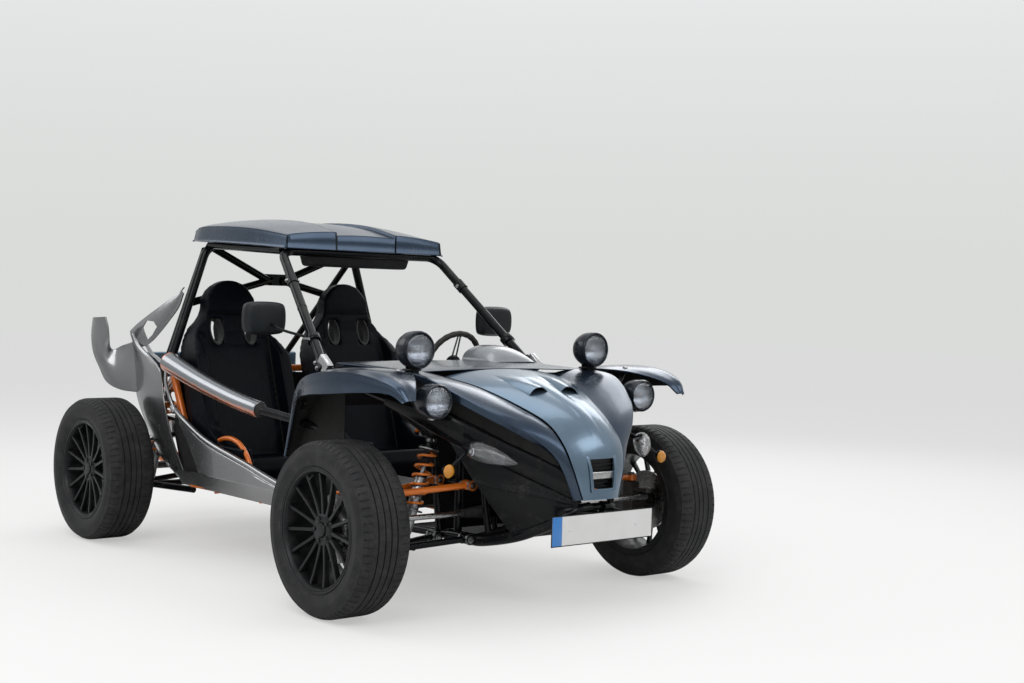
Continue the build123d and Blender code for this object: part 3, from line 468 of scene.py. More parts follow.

# Bonnet: one glass fibre moulding in silver metallic paint under clear lacquer, crowned across, its
# edges rolled down, its paint tinted blue as a painted reflection of the sky. Two shallow air scoops
# open forwards on it, a black sheet under each mouth as painted shade for the scoop's inside, and four
# short slits each side of its middle are dark patches laid on it, painted shade for their openings.

SIDES = (("left", 1), ("right", -1))
BONNET_STATIONS = (
    # y, z of the edge, half width, crown, tilt of the section plane from upright (degrees)
    (-0.955, 0.880, 0.290, 0.026, 4),
    (-1.130, 0.845, 0.246, 0.034, 12),
    (-1.300, 0.785, 0.192, 0.040, 24),
    (-1.420, 0.728, 0.156, 0.038, 38),
    (-1.500, 0.655, 0.146, 0.034, 62),
    (-1.536, 0.570, 0.128, 0.026, 78),
    (-1.552, 0.450, 0.088, 0.016, 86),
)
BONNET_SHARES = (-1.0, -0.97, -0.85, -0.6, -0.3, 0.0, 0.3, 0.6, 0.85, 0.97, 1.0)
BONNET_WALL = 0.004
CROWN_POWER = 2.3
SPINE_HALF, SPINE_RISE = 0.030, 0.004
SPINE_REAR_Y, SPINE_REAR_FADE, SPINE_FOOT_Z, SPINE_FOOT_FADE = -1.02, 0.12, 0.62, 0.06
GRILLE_HALF, GRILLE_TOP, GRILLE_FOOT, GRILLE_TAPER = 0.060, 0.603, 0.492, 0.10
SCOOP_STATIONS = (
    # y, middle x, half width, rise above the bonnet
    (-1.000, 0.112, 0.018, -0.003),
    (-1.080, 0.106, 0.034, 0.005),
    (-1.160, 0.098, 0.045, 0.015),
    (-1.230, 0.089, 0.051, 0.024),
    (-1.275, 0.082, 0.053, 0.027),
)
SCOOP_SHARES = (-1.0, -0.96, -0.8, -0.45, 0.0, 0.45, 0.8, 0.96, 1.0)
SCOOP_SINK = 0.003
SHADE_SHEET_X, SHADE_SHEET_Y, SHADE_SHEET_WIDTH, SHADE_SHEET_LENGTH, SHADE_SHEET_LIFT = 0.081, -1.258, 0.096, 0.05, 0.0012
SLITS = (
    # y, middle x, length
    (-1.376, 0.046, 0.030), (-1.410, 0.038, 0.026), (-1.442, 0.032, 0.022), (-1.470, 0.027, 0.018),
)
SLIT_WIDTH, SLIT_SLANT, SLIT_LIFT = 0.007, 0.008, 0.0009


def mirrored(points, sign):
    """The points as they are for the left side, or their mirror images for the right side."""
    return [Vector((sign * x, y, z)) for x, y, z in points]


def between(points, share):
    """A point on the smooth curve through the points, share running from 0 to 1 over all of them."""
    spot = min(max(share, 0.0), 1.0) * (len(points) - 1)
    index = min(int(spot), len(points) - 2)
    f = spot - index
    b, c = points[index], points[index + 1]
    a = points[index - 1] if index else b * 2 - c
    d = points[index + 2] if index + 2 < len(points) else c * 2 - b
    square, cube = a * 2 - b * 5 + c * 4 - d, b * 3 - a - c * 3 + d
    return (b * 2 + (c - a) * f + square * f ** 2 + cube * f ** 3) * 0.5


def skin(rows, across, along, sign=1, straight=False):
    """A grid laid smoothly over rows of points, one row for each station, or straight from row to row."""
    mesh = bmesh.new()
    bmesh.ops.create_grid(mesh, x_segments=across, y_segments=along, size=0.5)
    lines = [mirrored(row, sign) for row in rows]
    for vert in mesh.verts:
        u, v = vert.co.x + 0.5, vert.co.y + 0.5
        if straight:
            spot = min(v, 0.99999) * (len(lines) - 1)
            low = int(spot)
            vert.co = between(lines[low], u).lerp(between(lines[low + 1], u), spot - low)
        else:
            vert.co = between([between(line, u) for line in lines], v)
    return mesh


def face_up(mesh, towards):
    """Turns a skin so that its faces look roughly along a direction."""
    bmesh.ops.recalc_face_normals(mesh, faces=mesh.faces)
    total = Vector()
    for face in mesh.faces:
        total += face.normal * face.calc_area()
    if total.dot(Vector(towards)) < 0:
        bmesh.ops.reverse_faces(mesh, faces=mesh.faces)


def walled(thing, depth, inner=0):
    """Gives a skin its wall, drawn inwards. The inner side may have a finish of its own."""
    wall = thing.modifiers.new("wall", "SOLIDIFY")
    wall.thickness = depth
    wall.offset = -1.0
    wall.material_offset = inner


def sheet(name, mesh, towards, wall, slot, *finishes, rim=0.0012, smooth=40, replaces=None):
    """A moulded skin on the chassis, turned to face one way, with its wall inwards and its rim rounded. Of
    two finishes the second one is on the inner side."""
    face_up(mesh, towards)
    thing = piece(name, mesh, "chassis", slot, *finishes, smooth=smooth, replaces=replaces)
    walled(thing, wall, len(finishes) - 1)
    soft = thing.modifiers.new("soft_edges", "BEVEL")
    soft.width = rim
    soft.segments = 2
    soft.limit_method = "ANGLE"
    soft.angle_limit = radians(50)


def paint(name, colour, tint, metallic, roughness, coat=0.6):
    """Lacquered paint: fine metal flake, a slow drift of tone, and a film of dust in clouds."""
    finish = Finish(name, Metallic=metallic, Coat_Roughness=0.06, Coat_Weight=coat, Specular_IOR_Level=0.08)
    drift = finish.noise(0.35, detail=3).fade(0.3, 0.7)
    flake = finish.specks(0.0011)
    grime = (finish.noise(0.09, detail=6, roughness=0.65) * 0.7 + finish.noise(0.01) * 0.3).fade(0.5, 0.8)
    finish.feed(
        Base_Color=finish.mix(grime * 0.12, finish.mix(drift, colour, tint), (0.20, 0.19, 0.17, 1)),
        Roughness=grime * 0.12 + roughness,
        Normal=finish.bump(flake, 0.00006),
    )
    return finish


def dull_black(name, roughness, cloud=0.03):
    """Bare black moulding or rubber, a little uneven."""
    finish = Finish(name, Specular_IOR_Level=0.2)
    clouds = finish.noise(cloud, detail=5)
    finish.feed(
        Base_Color=finish.mix(clouds, (0.006, 0.006, 0.006, 1), (0.018, 0.017, 0.016, 1)),
        Roughness=finish.noise(0.01) * 0.2 + roughness,
    )
    return finish


def bonnet_row(y, z, half, crown, tilt):
    rise = Vector((0, -sin(radians(tilt)), cos(radians(tilt)))) * crown
    return [Vector((share * half, y, z)) + rise * (1 - abs(share) ** CROWN_POWER) for share in BONNET_SHARES]


def bonnet_height(x, y):
    """The bonnet's own height at a place, from its stations."""
    for near, far in zip(BONNET_STATIONS, BONNET_STATIONS[1:]):
        if far[0] <= y <= near[0]:
            share = (near[0] - y) / (near[0] - far[0])
            z, half, crown = (near[k] + (far[k] - near[k]) * share for k in (1, 2, 3))
            return z + crown * (1 - min(1.0, abs(x) / half) ** CROWN_POWER)
    return BONNET_STATIONS[0][1]


def spine(x):
    """How fully the raised band along the bonnet's middle stands at a distance from it."""
    return max(0.0, 1 - (x / SPINE_HALF) ** 4)


def open_grille(mesh):
    """Cuts the tapered opening for the grille out of the nose."""
    for place, normal in (((-GRILLE_HALF, 0, GRILLE_TOP), (1, 0, GRILLE_TAPER)),
                          ((GRILLE_HALF, 0, GRILLE_TOP), (1, 0, -GRILLE_TAPER)),
                          ((0, 0, GRILLE_TOP), (0, 0, 1)), ((0, 0, GRILLE_FOOT), (0, 0, 1))):
        bmesh.ops.bisect_plane(mesh, geom=mesh.verts[:] + mesh.edges[:] + mesh.faces[:], plane_co=place,
                               plane_no=normal, dist=1e-5)
    gone = []
    for face in mesh.faces:
        x, y, z = face.calc_center_median()
        half = GRILLE_HALF - GRILLE_TAPER * (GRILLE_TOP - z)
        if abs(x) < half and GRILLE_FOOT < z < GRILLE_TOP and y < -1.45:
            gone.append(face)
    bmesh.ops.delete(mesh, geom=gone, context="FACES")


def scoop_row(y, middle, half, rise):
    row = []
    for share in SCOOP_SHARES:
        x = middle + share * half
        arch = (rise + SCOOP_SINK) * (1 - abs(share) ** 2.6)
        row.append((x, y, bonnet_height(x, y) - SCOOP_SINK + arch))
    return row


# The bonnet's silver paint, tinted blue: a painted reflection of the sky. The same paint on the side panels
# is painted darker as shade.
sky_tinted_silver = paint("silver_paint", (0.086, 0.132, 0.184, 1), (0.106, 0.152, 0.200, 1), 0.85, 0.28, 0.4)
under_black = dull_black("under_black", 0.65)

bonnet = skin([bonnet_row(*station) for station in BONNET_STATIONS], 56, 90)
for vert in bonnet.verts:
    fade = min(1.0, max(0.0, (SPINE_REAR_Y - vert.co.y) / SPINE_REAR_FADE))
    fade *= min(1.0, max(0.0, (vert.co.z - SPINE_FOOT_Z) / SPINE_FOOT_FADE))
    vert.co.z += SPINE_RISE * spine(vert.co.x) * fade
open_grille(bonnet)
sheet("bonnet_skin", bonnet, (0, -0.5, 1), BONNET_WALL, "silver_paint", sky_tinted_silver, under_black,
      replaces="bonnet")

slits = bmesh.new()
for side, sign in SIDES:
    scoop = skin([scoop_row(*station) for station in SCOOP_STATIONS], 20, 30, sign)
    sheet(f"bonnet_scoop_{side}", scoop, (0, 0, 1), 0.003, "silver_paint", sky_tinted_silver, under_black, rim=0.0008)
    # Under each scoop's mouth a matte black sheet lies on the bonnet: painted shade for the dark inside of
    # the scoop.
    scoop_shade = bmesh.new()
    bmesh.ops.create_grid(scoop_shade, x_segments=14, y_segments=10, size=0.5)
    for vert in scoop_shade.verts:
        x, y = SHADE_SHEET_X + vert.co.x * SHADE_SHEET_WIDTH, SHADE_SHEET_Y + vert.co.y * SHADE_SHEET_LENGTH
        vert.co = (sign * x, y, bonnet_height(x, y) + SHADE_SHEET_LIFT)
    sheet(f"scoop_shade_sheet_{side}", scoop_shade, (0, 0, 1), 0.002, "matte_black", under_black)
    # Each slit is a dark patch laid just over the bonnet: painted shade for the slit's opening.
    for slit_y, middle, length in SLITS:
        slit = bmesh.new()
        bmesh.ops.create_grid(slit, x_segments=8, y_segments=3, size=0.5)
        for vert in slit.verts:
            x = middle + vert.co.x * length
            y = slit_y + vert.co.y * SLIT_WIDTH * (1 - (2 * vert.co.x) ** 4) + vert.co.x * SLIT_SLANT
            vert.co = (sign * x, y, bonnet_height(x, y) + 0.0048 * spine(x) + SLIT_LIFT)
        face_up(slit, (0, -0.3, 1))
        join(slits, slit)
piece("bonnet_slit_shade", slits, "chassis", "matte_black", black_and_painted_shade)

# Nose grille: a black gloss frame with a raised silver surround and one polished bar across, in the nose of
# the bonnet, with a dark backing and thin bars behind it.

GRILLE_LOW_HALF = 0.0489
GRILLE_CORNERS = ((-GRILLE_HALF, GRILLE_TOP), (0.0, 0.606), (GRILLE_HALF, GRILLE_TOP),
                  (GRILLE_LOW_HALF, GRILLE_FOOT), (0.0, 0.489), (-GRILLE_LOW_HALF, GRILLE_FOOT))
GRILLE_MIDDLE = 0.548
GRILLE_BARS = (0.582, 0.566, 0.514, 0.500)


def nose_y(z):
    """How far forward the skin of the nose stands on the middle line, at a height."""
    stations = [(z_edge, y - crown * sin(radians(tilt))) for y, z_edge, half, crown, tilt in BONNET_STATIONS]
    for (z_up, y_up), (z_low, y_low) in zip(stations, stations[1:]):
        if z_low <= z <= z_up:
            return y_up + (y_low - y_up) * (z_up - z) / (z_up - z_low)
    return stations[-1][1]


def add_block(mesh, size, place, edge, material=0, turn=None, segments=3):
    """A block with rounded edges, turned about its own middle and set in its place."""
    extra = bmesh.new()
    bmesh.ops.create_cube(extra, size=1.0)
    bmesh.ops.scale(extra, verts=extra.verts, vec=size)
    rounded(extra, edge, segments=segments)
    if turn:
        bmesh.ops.rotate(extra, verts=extra.verts, cent=(0, 0, 0), matrix=turn)
    bmesh.ops.translate(extra, verts=extra.verts, vec=place)
    join(mesh, extra, material)


gloss_black = paint("gloss_black", (0.0025, 0.0028, 0.0034, 1), (0.005, 0.0052, 0.006, 1), 0.0, 0.22, 0.12)

surround = bmesh.new()
rings = []
for wider, taller in ((1.26, 1.22), (1.02, 1.0)):
    ring = [(x * wider, nose_y(z) - 0.002, GRILLE_MIDDLE + (z - GRILLE_MIDDLE) * taller)
            for x, z in GRILLE_CORNERS]
    rings += outline(surround, ring, True)[1]
bmesh.ops.bridge_loops(surround, edges=rings)
bmesh.ops.subdivide_edges(surround, edges=surround.edges[:], cuts=2, use_grid_fill=True)
for vert in surround.verts:
    vert.co.y = nose_y(vert.co.z) - 0.0045 + 0.10 * max(0.0, abs(vert.co.x) - 0.02) ** 1.3
face_up(surround, (0, -1, 0))
bmesh.ops.solidify(surround, geom=surround.faces[:], thickness=0.007)
rounded(surround, 0.0022, segments=3, sharp=50)
piece("grille_surround", surround, "chassis", "silver_paint", sky_tinted_silver)

grille = bmesh.new()
backing = bmesh.new()
plate_from(backing, [(x * 1.08, -1.537, z) for x, z in GRILLE_CORNERS], (0, 0.010, 0))
join(grille, backing, 1)
for z in GRILLE_BARS:
    add_block(grille, (0.106, 0.012, 0.0035), (0, -1.545, z), 0.001)
add_block(grille, (0.112, 0.012, 0.028), (0, -1.552, 0.541), 0.004, material=2)
piece("grille_insert", grille, "chassis", "matte_black", gloss_black, black_and_painted_shade, bright_steel,
      replaces="nose_grille")

# Scuttle and nose wings: dark anthracite gloss mouldings. The wings run from the scuttle to the chin, each
# side of the bonnet, with their outer edges turned down. The dashboard under them is black, with a silver
# grey arched instrument hood in front of the driver.

NOSE_WING_STATIONS = (
    # inner edge, outer edge, direction of the outer surface, bulge, lip
    ((0.295, -0.950, 0.878), (0.470, -0.950, 0.905), (0, -0.05, 1), 0.006, 0.022),
    ((0.251, -1.130, 0.842), (0.486, -1.110, 0.880), (-0.1, -0.25, 1), 0.009, 0.024),
    ((0.197, -1.300, 0.781), (0.404, -1.290, 0.796), (0, -0.45, 1), 0.010, 0.026),
    ((0.161, -1.420, 0.722), (0.306, -1.405, 0.722), (0.1, -0.75, 1), 0.009, 0.026),
    ((0.151, -1.499, 0.648), (0.206, -1.478, 0.640), (0.4, -1, 0.5), 0.004, 0.024),
    ((0.133, -1.534, 0.565), (0.160, -1.508, 0.560), (0.5, -1, 0.2), 0.003, 0.020),
    ((0.094, -1.550, 0.452), (0.118, -1.526, 0.448), (0.5, -1, 0.1), 0.003, 0.016),
)
SCUTTLE_STATIONS = (
    # y, z, half width, crown
    (-0.9495, 0.896, 0.470, 0.012), (-0.880, 0.9035, 0.466, 0.011), (-0.740, 0.908, 0.462, 0.010),
    (-0.620, 0.911, 0.480, 0.009), (-0.560, 0.912, 0.500, 0.008), (-0.500, 0.911, 0.498, 0.008),
)
SCUTTLE_SHARES = (-1.0, -0.985, -0.7, -0.35, 0.0, 0.35, 0.7, 0.985, 1.0)
SCUTTLE_LIP = 0.014
DASH_BLOCKS = (
    # size, place
    ((0.980, 0.036, 0.130), (0, -0.482, 0.800)), ((0.976, 0.066, 0.048), (0, -0.505, 0.884)),
    ((0.150, 0.020, 0.200), (0, -0.474, 0.735)),
)
DIALS = ((0.235, 0.900, 0.040), (0.375, 0.900, 0.040), (0.305, 0.925, 0.026))
DIAL_Y, SWITCH_Y = -0.474, -0.464
SWITCH = ((0.0, 0.009), (0.004, 0.009), (0.005, 0.004), (0.016, 0.0035), (0.018, 0.0))
HOOD_STATIONS = (
    # y, foot z, height of the arch, half width
    (-0.672, 0.9175, 0.001, 0.118), (-0.645, 0.9150, 0.030, 0.126), (-0.612, 0.9120, 0.054, 0.131),
    (-0.575, 0.9080, 0.071, 0.134), (-0.530, 0.9050, 0.080, 0.136), (-0.478, 0.9050, 0.079, 0.136),
)
HOOD_X = 0.305
HOOD_TURNS = (0, 12, 30, 50, 70, 90, 110, 130, 150, 168, 180)


def lipped_row(inner, outer, normal, bulge, lip, inner_lip=0.0):
    """Points across a strip: arched along its normal, the outer edge turned down through a small radius. The
    inner edge either has a lip of its own or tucks in under its neighbour."""
    a, b, n = Vector(inner), Vector(outer), Vector(normal)
    along = (b - a).normalized()
    n = (n - along * n.dot(along)).normalized()
    row = [a - n * inner_lip] if inner_lip else [a - n * 0.016 - along * 0.018, a - n * 0.008 - along * 0.004]
    for share in (0.0, 0.04, 0.25, 0.5, 0.75, 0.9):
        row.append(a + (b - a) * share + n * bulge * (1 - (2 * share - 1) ** 2))
    return row + [b - along * 0.003 + n * bulge * 0.08, b - n * 0.003, b - n * lip * 0.55, b - n * lip]


def scuttle_row(y, z, half, crown):
    return [(share * half, y, z + crown * (1 - share ** 2) - (SCUTTLE_LIP if abs(share) == 1.0 else 0.0))
            for share in SCUTTLE_SHARES]


def hood_row(y, foot, arch, half):
    turns = [radians(turn) for turn in HOOD_TURNS]
    return [(HOOD_X - half * cos(turn), y, foot + arch * sin(turn) ** 0.8) for turn in turns]


dark_gloss = paint("dark_gloss", (0.027, 0.041, 0.064, 1), (0.036, 0.052, 0.077, 1), 0.8, 0.22, 0.15)
dash_black = Finish("dash_black", Specular_IOR_Level=0.12)
scuffs = dash_black.noise(0.05, detail=5)
dash_black.feed(
    Base_Color=dash_black.mix(scuffs, (0.006, 0.006, 0.007, 1), (0.015, 0.0145, 0.014, 1)),
    Roughness=dash_black.noise(0.02) * 0.2 + 0.5,
    Normal=dash_black.bump(dash_black.specks(0.0016), 0.00025),
)
hood_silver = paint("hood_silver", (0.16, 0.17, 0.18, 1), (0.20, 0.21, 0.22, 1), 0.55, 0.34)

for side, sign in SIDES:
    nose_wing = skin([lipped_row(*station) for station in NOSE_WING_STATIONS], 36, 70, sign)
    sheet(f"nose_wing_{side}", nose_wing, (0, -0.5, 1), 0.004, "dark_gloss", dark_gloss, under_black)
scuttle = skin([scuttle_row(*station) for station in SCUTTLE_STATIONS], 40, 24)
sheet("scuttle_top", scuttle, (0, 0, 1), 0.004, "dark_gloss", dark_gloss, under_black, replaces="scuttle")

dash = bmesh.new()
for size, place in DASH_BLOCKS:
    add_block(dash, size, place, 0.010, segments=4)
for x, z, size in DIALS:
    rim = ((0.0, size), (0.012, size), (0.014, size - 0.003), (0.010, size - 0.006), (0.009, 0.0))
    add_turned(dash, rim, (x, DIAL_Y, z), steps=40, material=1)
for z in (0.812, 0.772):
    for x in (-0.03, 0.0, 0.03):
        add_turned(dash, SWITCH, (x, SWITCH_Y, z), (0, 1, 0.15), steps=16, material=1)
piece("dashboard", dash, "chassis", "matte_black", dash_black, bright_steel)
sheet("instrument_hood", skin([hood_row(*station) for station in HOOD_STATIONS], 44, 26), (0, -0.4, 1), 0.005,
      "silver_paint", hood_silver, under_black, rim=0.002)

# Front wings: dark gloss mouldings over the tyres, a raised crease along the outer side, the outer edge
# turned down, black underneath, each held by two stays with bright dome nuts, and two bolts at the rear.

WING_STATIONS = (
    # y, z, slope of the surface (degrees, nose down positive), inner x, outer x, bulge, lip
    (-1.290, 0.815, 62, 0.680, 0.722, 0.003, 0.012),
    (-1.235, 0.866, 34, 0.640, 0.748, 0.008, 0.030),
    (-1.100, 0.900, 8, 0.560, 0.788, 0.014, 0.062),
    (-0.900, 0.900, -4, 0.500, 0.800, 0.014, 0.078),
    (-0.700, 0.868, -16, 0.505, 0.776, 0.014, 0.066),
    (-0.530, 0.795, -38, 0.520, 0.712, 0.010, 0.036),
    (-0.420, 0.670, -66, 0.535, 0.664, 0.008, 0.022),
    (-0.352, 0.525, -74, 0.545, 0.645, 0.006, 0.016),
)
WING_CREASE, WING_FLARE = 0.004, 0.007
WING_STAYS = (
    # foot, head
    ((0.478, -1.060, 0.736), (0.600, -1.060, 0.907)), ((0.524, -0.800, 0.806), (0.610, -0.780, 0.882)),
)
STAY_R = 0.009
DOME_NUT = ((-0.004, 0.016), (0.002, 0.016), (0.003, 0.011), (0.007, 0.008), (0.009, 0.0))
WING_BOLTS = ((0.640, -0.482, 0.752), (0.628, -0.460, 0.730))
BOLT_HEAD = ((-0.010, 0.010), (0.001, 0.010), (0.002, 0.0075), (0.006, 0.006), (0.008, 0.0))


def wing_row(y, z, slope, inner_x, outer_x, bulge, lip):
    normal = Vector((0, -sin(radians(slope)), cos(radians(slope))))
    row = lipped_row((inner_x, y, z), (outer_x, y, z), normal, bulge, lip, inner_lip=0.006)
    row[5] += normal * WING_CREASE
    row[-1] += Vector((WING_FLARE, 0, 0)) - normal * 0.004
    return row


def rod(length, radius):
    """The profile of a plain round rod."""
    return (0.0, 0.0), (0.0, radius), (length, radius), (length, 0.0)


for side, sign in SIDES:
    wing = skin([wing_row(*station) for station in WING_STATIONS], 44, 84, sign)
    sheet(f"front_wing_{side}", wing, (0, 0, 1), 0.004, "dark_gloss", dark_gloss, under_black,
          replaces="front_fenders")
    stays = bmesh.new()
    for stay in WING_STAYS:
        foot, head = mirrored(stay, sign)
        run = head - foot
        out = run.cross(Vector((0, 1, 0)))
        add_turned(stays, rod(run.length, STAY_R), foot, run, out, steps=20)
        add_turned(stays, DOME_NUT, head, run, out, steps=20, material=1)
    for bolt in mirrored(WING_BOLTS, sign):
        add_turned(stays, BOLT_HEAD, bolt, (0.25 * sign, 0.75, 0.6), (1, 0, 0), steps=16, material=1)
    piece(f"front_wing_stays_{side}", stays, "chassis", "frame_paint", gloss_black, bright_steel)

# Inner panels: black moulded sheets that close the front. Liners stand inboard of the tyres under the front
# wings, a band and a folded hull cover each side of the nose, dark boards close the gaps behind them, a
# firewall stands behind the bulkhead hoop, a second one behind the seats, and a skid plate lies below.

PLATE = 0.003
ARCH_LINER_X = 0.582
ARCH_LINER = ((-0.700, 0.420), (-0.700, 0.858), (-0.620, 0.828), (-0.530, 0.784), (-0.470, 0.730),
              (-0.420, 0.660), (-0.382, 0.585), (-0.357, 0.520), (-0.362, 0.455), (-0.430, 0.420))
UPPER_RAIL = mirrored(((0.520, -0.900, 0.790), (0.455, -1.130, 0.720), (0.280, -1.313, 0.611),
                       (0.084, -1.517, 0.490)), 1)
LOWER_LOOP = mirrored(((0.250, -1.170, 0.262), (0.214, -1.325, 0.298), (0.152, -1.437, 0.352),
                       (0.086, -1.512, 0.405)), 1)
BAND_STEPS, HULL_STEPS, HULL_START = 12, 8, 0.42
BAND_SECTION = (
    # outwards, upwards
    (-0.014, 0.050), (0.004, 0.050), (0.019, 0.040), (0.024, 0.016), (0.024, -0.012), (0.019, -0.034),
    (0.006, -0.047), (-0.012, -0.050),
)
HULL_FOLDS = (
    # share of the way down, share of the waist outwards, distance outwards
    (0.0, 0.0, 0.0), (0.05, 0.0, 0.006), (0.30, 0.75, 0.0), (0.42, 1.0, 0.0), (0.48, 0.7, 0.0),
    (0.75, 0.45, 0.0), (0.96, 0.0, 0.0), (1.0, 0.0, 0.0),
)
BOARD_EDGES = (
    # top, foot
    ((0.440, -0.950, 0.884), (0.486, -0.950, 0.770)),
    ((0.440, -1.120, 0.850), (0.434, -1.120, 0.700)),
    ((0.360, -1.290, 0.772), (0.276, -1.292, 0.600)),
    ((0.262, -1.400, 0.700), (0.166, -1.400, 0.536)),
    ((0.172, -1.474, 0.610), (0.104, -1.474, 0.500)),
)
FIREWALL_Y, REAR_BULKHEAD_Y = -0.880, 0.752
FIREWALL = ((0.232, 0.262), (0.284, 0.640), (0.492, 0.770), (0.462, 0.884))
REAR_BULKHEAD = ((0.236, 0.264), (0.296, 0.492), (0.545, 0.566), (0.545, 0.796))
SWAGES, SWAGE_PITCH, LOWEST_SWAGE = 5, 0.062, 0.340
SKID_STATIONS = (
    # y, z, half width
    (-0.500, 0.221, 0.250), (-0.800, 0.232, 0.250), (-1.100, 0.243, 0.248), (-1.240, 0.291, 0.202),
    (-1.370, 0.342, 0.156), (-1.470, 0.381, 0.122),
)


def rail_place(share, behind, ahead_of):
    """A place on the upper rail, and the ways outwards and upwards there, square to its run."""
    run = (between(UPPER_RAIL, share + ahead_of) - between(UPPER_RAIL, share - behind)).normalized()
    outwards = Vector((-run.y, run.x, 0)).normalized()
    if outwards.x < 0:
        outwards.negate()
    upwards = run.cross(outwards)
    if upwards.z < 0:
        upwards.negate()
    return between(UPPER_RAIL, share), outwards, upwards


def both_sides(half):
    """A half section or outline, and back along its mirror image."""
    return [*half, *((-across, other) for across, other in reversed(half))]


band_rows, hull_rows = [], []
for step in range(BAND_STEPS + 1):
    at, outwards, upwards = rail_place(step / BAND_STEPS, 0.02, 0.02)
    narrow = 0.55 + 0.45 * min(1.0, step / 4)
    band_rows.append([at + outwards * out + upwards * up * narrow for out, up in BAND_SECTION])
for step in range(HULL_STEPS + 1):
    share = step / HULL_STEPS
    at, outwards, upwards = rail_place(HULL_START + (1 - HULL_START) * share, 0.05, 0.0)
    head = at + outwards * 0.004 - upwards * 0.044
    foot = between(LOWER_LOOP, 0.30 + 0.70 * share) + outwards * 0.012
    waist = 0.030 * (1 - step / 10)
    hull_rows.append([head.lerp(foot, down) + outwards * (waist * part + out)
                      for down, part, out in HULL_FOLDS])
board_rows = [[Vector(top), Vector(top).lerp(Vector(foot), 0.5), Vector(foot)] for top, foot in BOARD_EDGES]

for side, sign in SIDES:
    liner = bmesh.new()
    plate_from(liner, [(sign * ARCH_LINER_X, y, z) for y, z in ARCH_LINER], (sign * PLATE, 0, 0))
    piece(f"arch_liner_{side}", liner, "chassis", "matte_black", under_black)
    for name, rows, across, along in (("band", band_rows, 24, 50), ("hull", hull_rows, 30, 36)):
        sheet(f"nose_{name}_{side}", skin(rows, across, along, sign), (sign * 0.7, -0.7, 0), PLATE,
              "dark_gloss", gloss_black, under_black)
    board = skin(board_rows, 12, 40, sign)
    for vert in board.verts:
        vert.co.x -= sign * 0.005 * max(0.0, cos(vert.co.y * 120)) ** 4
    sheet(f"nose_board_{side}", board, (sign, 0, 0), PLATE, "matte_black", under_black)

closing = bmesh.new()
for y, half in ((REAR_BULKHEAD_Y, REAR_BULKHEAD), (FIREWALL_Y, FIREWALL)):
    plate_from(closing, [(x, y, z) for x, z in both_sides(half)], (0, PLATE, 0))
for number in range(SWAGES):
    place = (0, FIREWALL_Y - 0.001, LOWEST_SWAGE + number * SWAGE_PITCH)
    add_block(closing, (0.380, 0.008, 0.022), place, 0.004)
skid_rows = [[(share * half, y, z) for share in (-1.0, -0.5, 0.0, 0.5, 1.0)]
             for y, z, half in SKID_STATIONS]
skid = skin(skid_rows, 12, 40)
face_up(skid, (0, -0.2, -1))
bmesh.ops.solidify(skid, geom=skid.faces[:], thickness=PLATE)
join(closing, skid)
piece("firewall_and_skid", closing, "chassis", "matte_black", dash_black)

# Roof: one dark gloss moulding with upright skirts, two raised side lobes and a sunk middle band, and a
# rolled lower lip, bolted to the cage. A black console with a switch row hangs under its front edge.

ROOF_STATIONS = (
    # y, half width, skirt bottom z, crease z, top z
    (0.030, 0.430, 1.384, 1.440, 1.464),
    (0.250, 0.446, 1.398, 1.468, 1.512),
    (0.500, 0.452, 1.410, 1.483, 1.532),
    (0.745, 0.446, 1.419, 1.485, 1.530),
    (0.838, 0.430, 1.424, 1.468, 1.500),
)
ROOF_BAND, ROOF_STEP = 0.165, 0.009
ROOF_CROWN_STEPS, ROOF_ACROSS = 12, 130
ROOF_FOLD = (
    # share of the way down to the skirt's bottom, distance outwards
    (0.0, 0.0), (0.06, 0.003), (0.5, 0.005), (0.92, 0.006), (1.0, 0.009),
)
CONSOLE_SIZE, CONSOLE_PLACE = (0.560, 0.118, 0.084), (0, 0.110, 1.352)
CONSOLE_SWITCHES, CONSOLE_SWITCH_SIZE = (-0.18, -0.06, 0.06, 0.18), (0.034, 0.012, 0.022)


def roof_row(y, half, bottom, crease, top):
    """The roof's section from one skirt over both lobes to the other skirt."""

    def on_top(x, lift):
        return x, crease + (top - crease) * (1 - (x / half) ** 2) + lift

    skirt = [(half + 0.004, bottom), (half, bottom + 0.006), (half - 0.004, (bottom + crease) / 2),
             (half - 0.008, crease - 0.003), (half - 0.012, crease + 0.003)]
    lobe = [on_top(half - 0.05, 0.004), on_top((half + ROOF_BAND) / 2, 0.006),
            on_top(ROOF_BAND + 0.04, 0.006), on_top(ROOF_BAND, 0.004),
            (ROOF_BAND - 0.004, on_top(ROOF_BAND, 0.001)[1]),
            (ROOF_BAND - 0.009, on_top(ROOF_BAND, -ROOF_STEP)[1]),
            on_top(ROOF_BAND - 0.04, -ROOF_STEP - 0.001), on_top(0.06, -ROOF_STEP)]
    section = both_sides(skirt + lobe)
    section.insert(len(section) // 2, on_top(0.0, -ROOF_STEP))
    return [Vector((x, y, z)) for x, z in section]


def roof_end(station, forward):
    """Rows that fold the roof's end down: a small corner, then the upright face with its lip."""
    bottom = station[2]
    return [[Vector((p.x, p.y - forward * out, p.z + (bottom - p.z) * share)) for p in roof_row(*station)]
            for share, out in ROOF_FOLD]


columns = list(zip(*[roof_row(*station) for station in ROOF_STATIONS]))
crown_rows = [[between(column, step / ROOF_CROWN_STEPS) for column in columns]
              for step in range(1, ROOF_CROWN_STEPS)]
rows = roof_end(ROOF_STATIONS[0], 1)[::-1] + crown_rows + roof_end(ROOF_STATIONS[-1], -1)
roof = skin(rows, ROOF_ACROSS, len(rows) - 1, straight=True)
sheet("roof_skin", roof, (0, 0, 1), 0.006, "dark_gloss", dark_gloss, under_black, rim=0.0015, smooth=35,
      replaces="roof_panel")

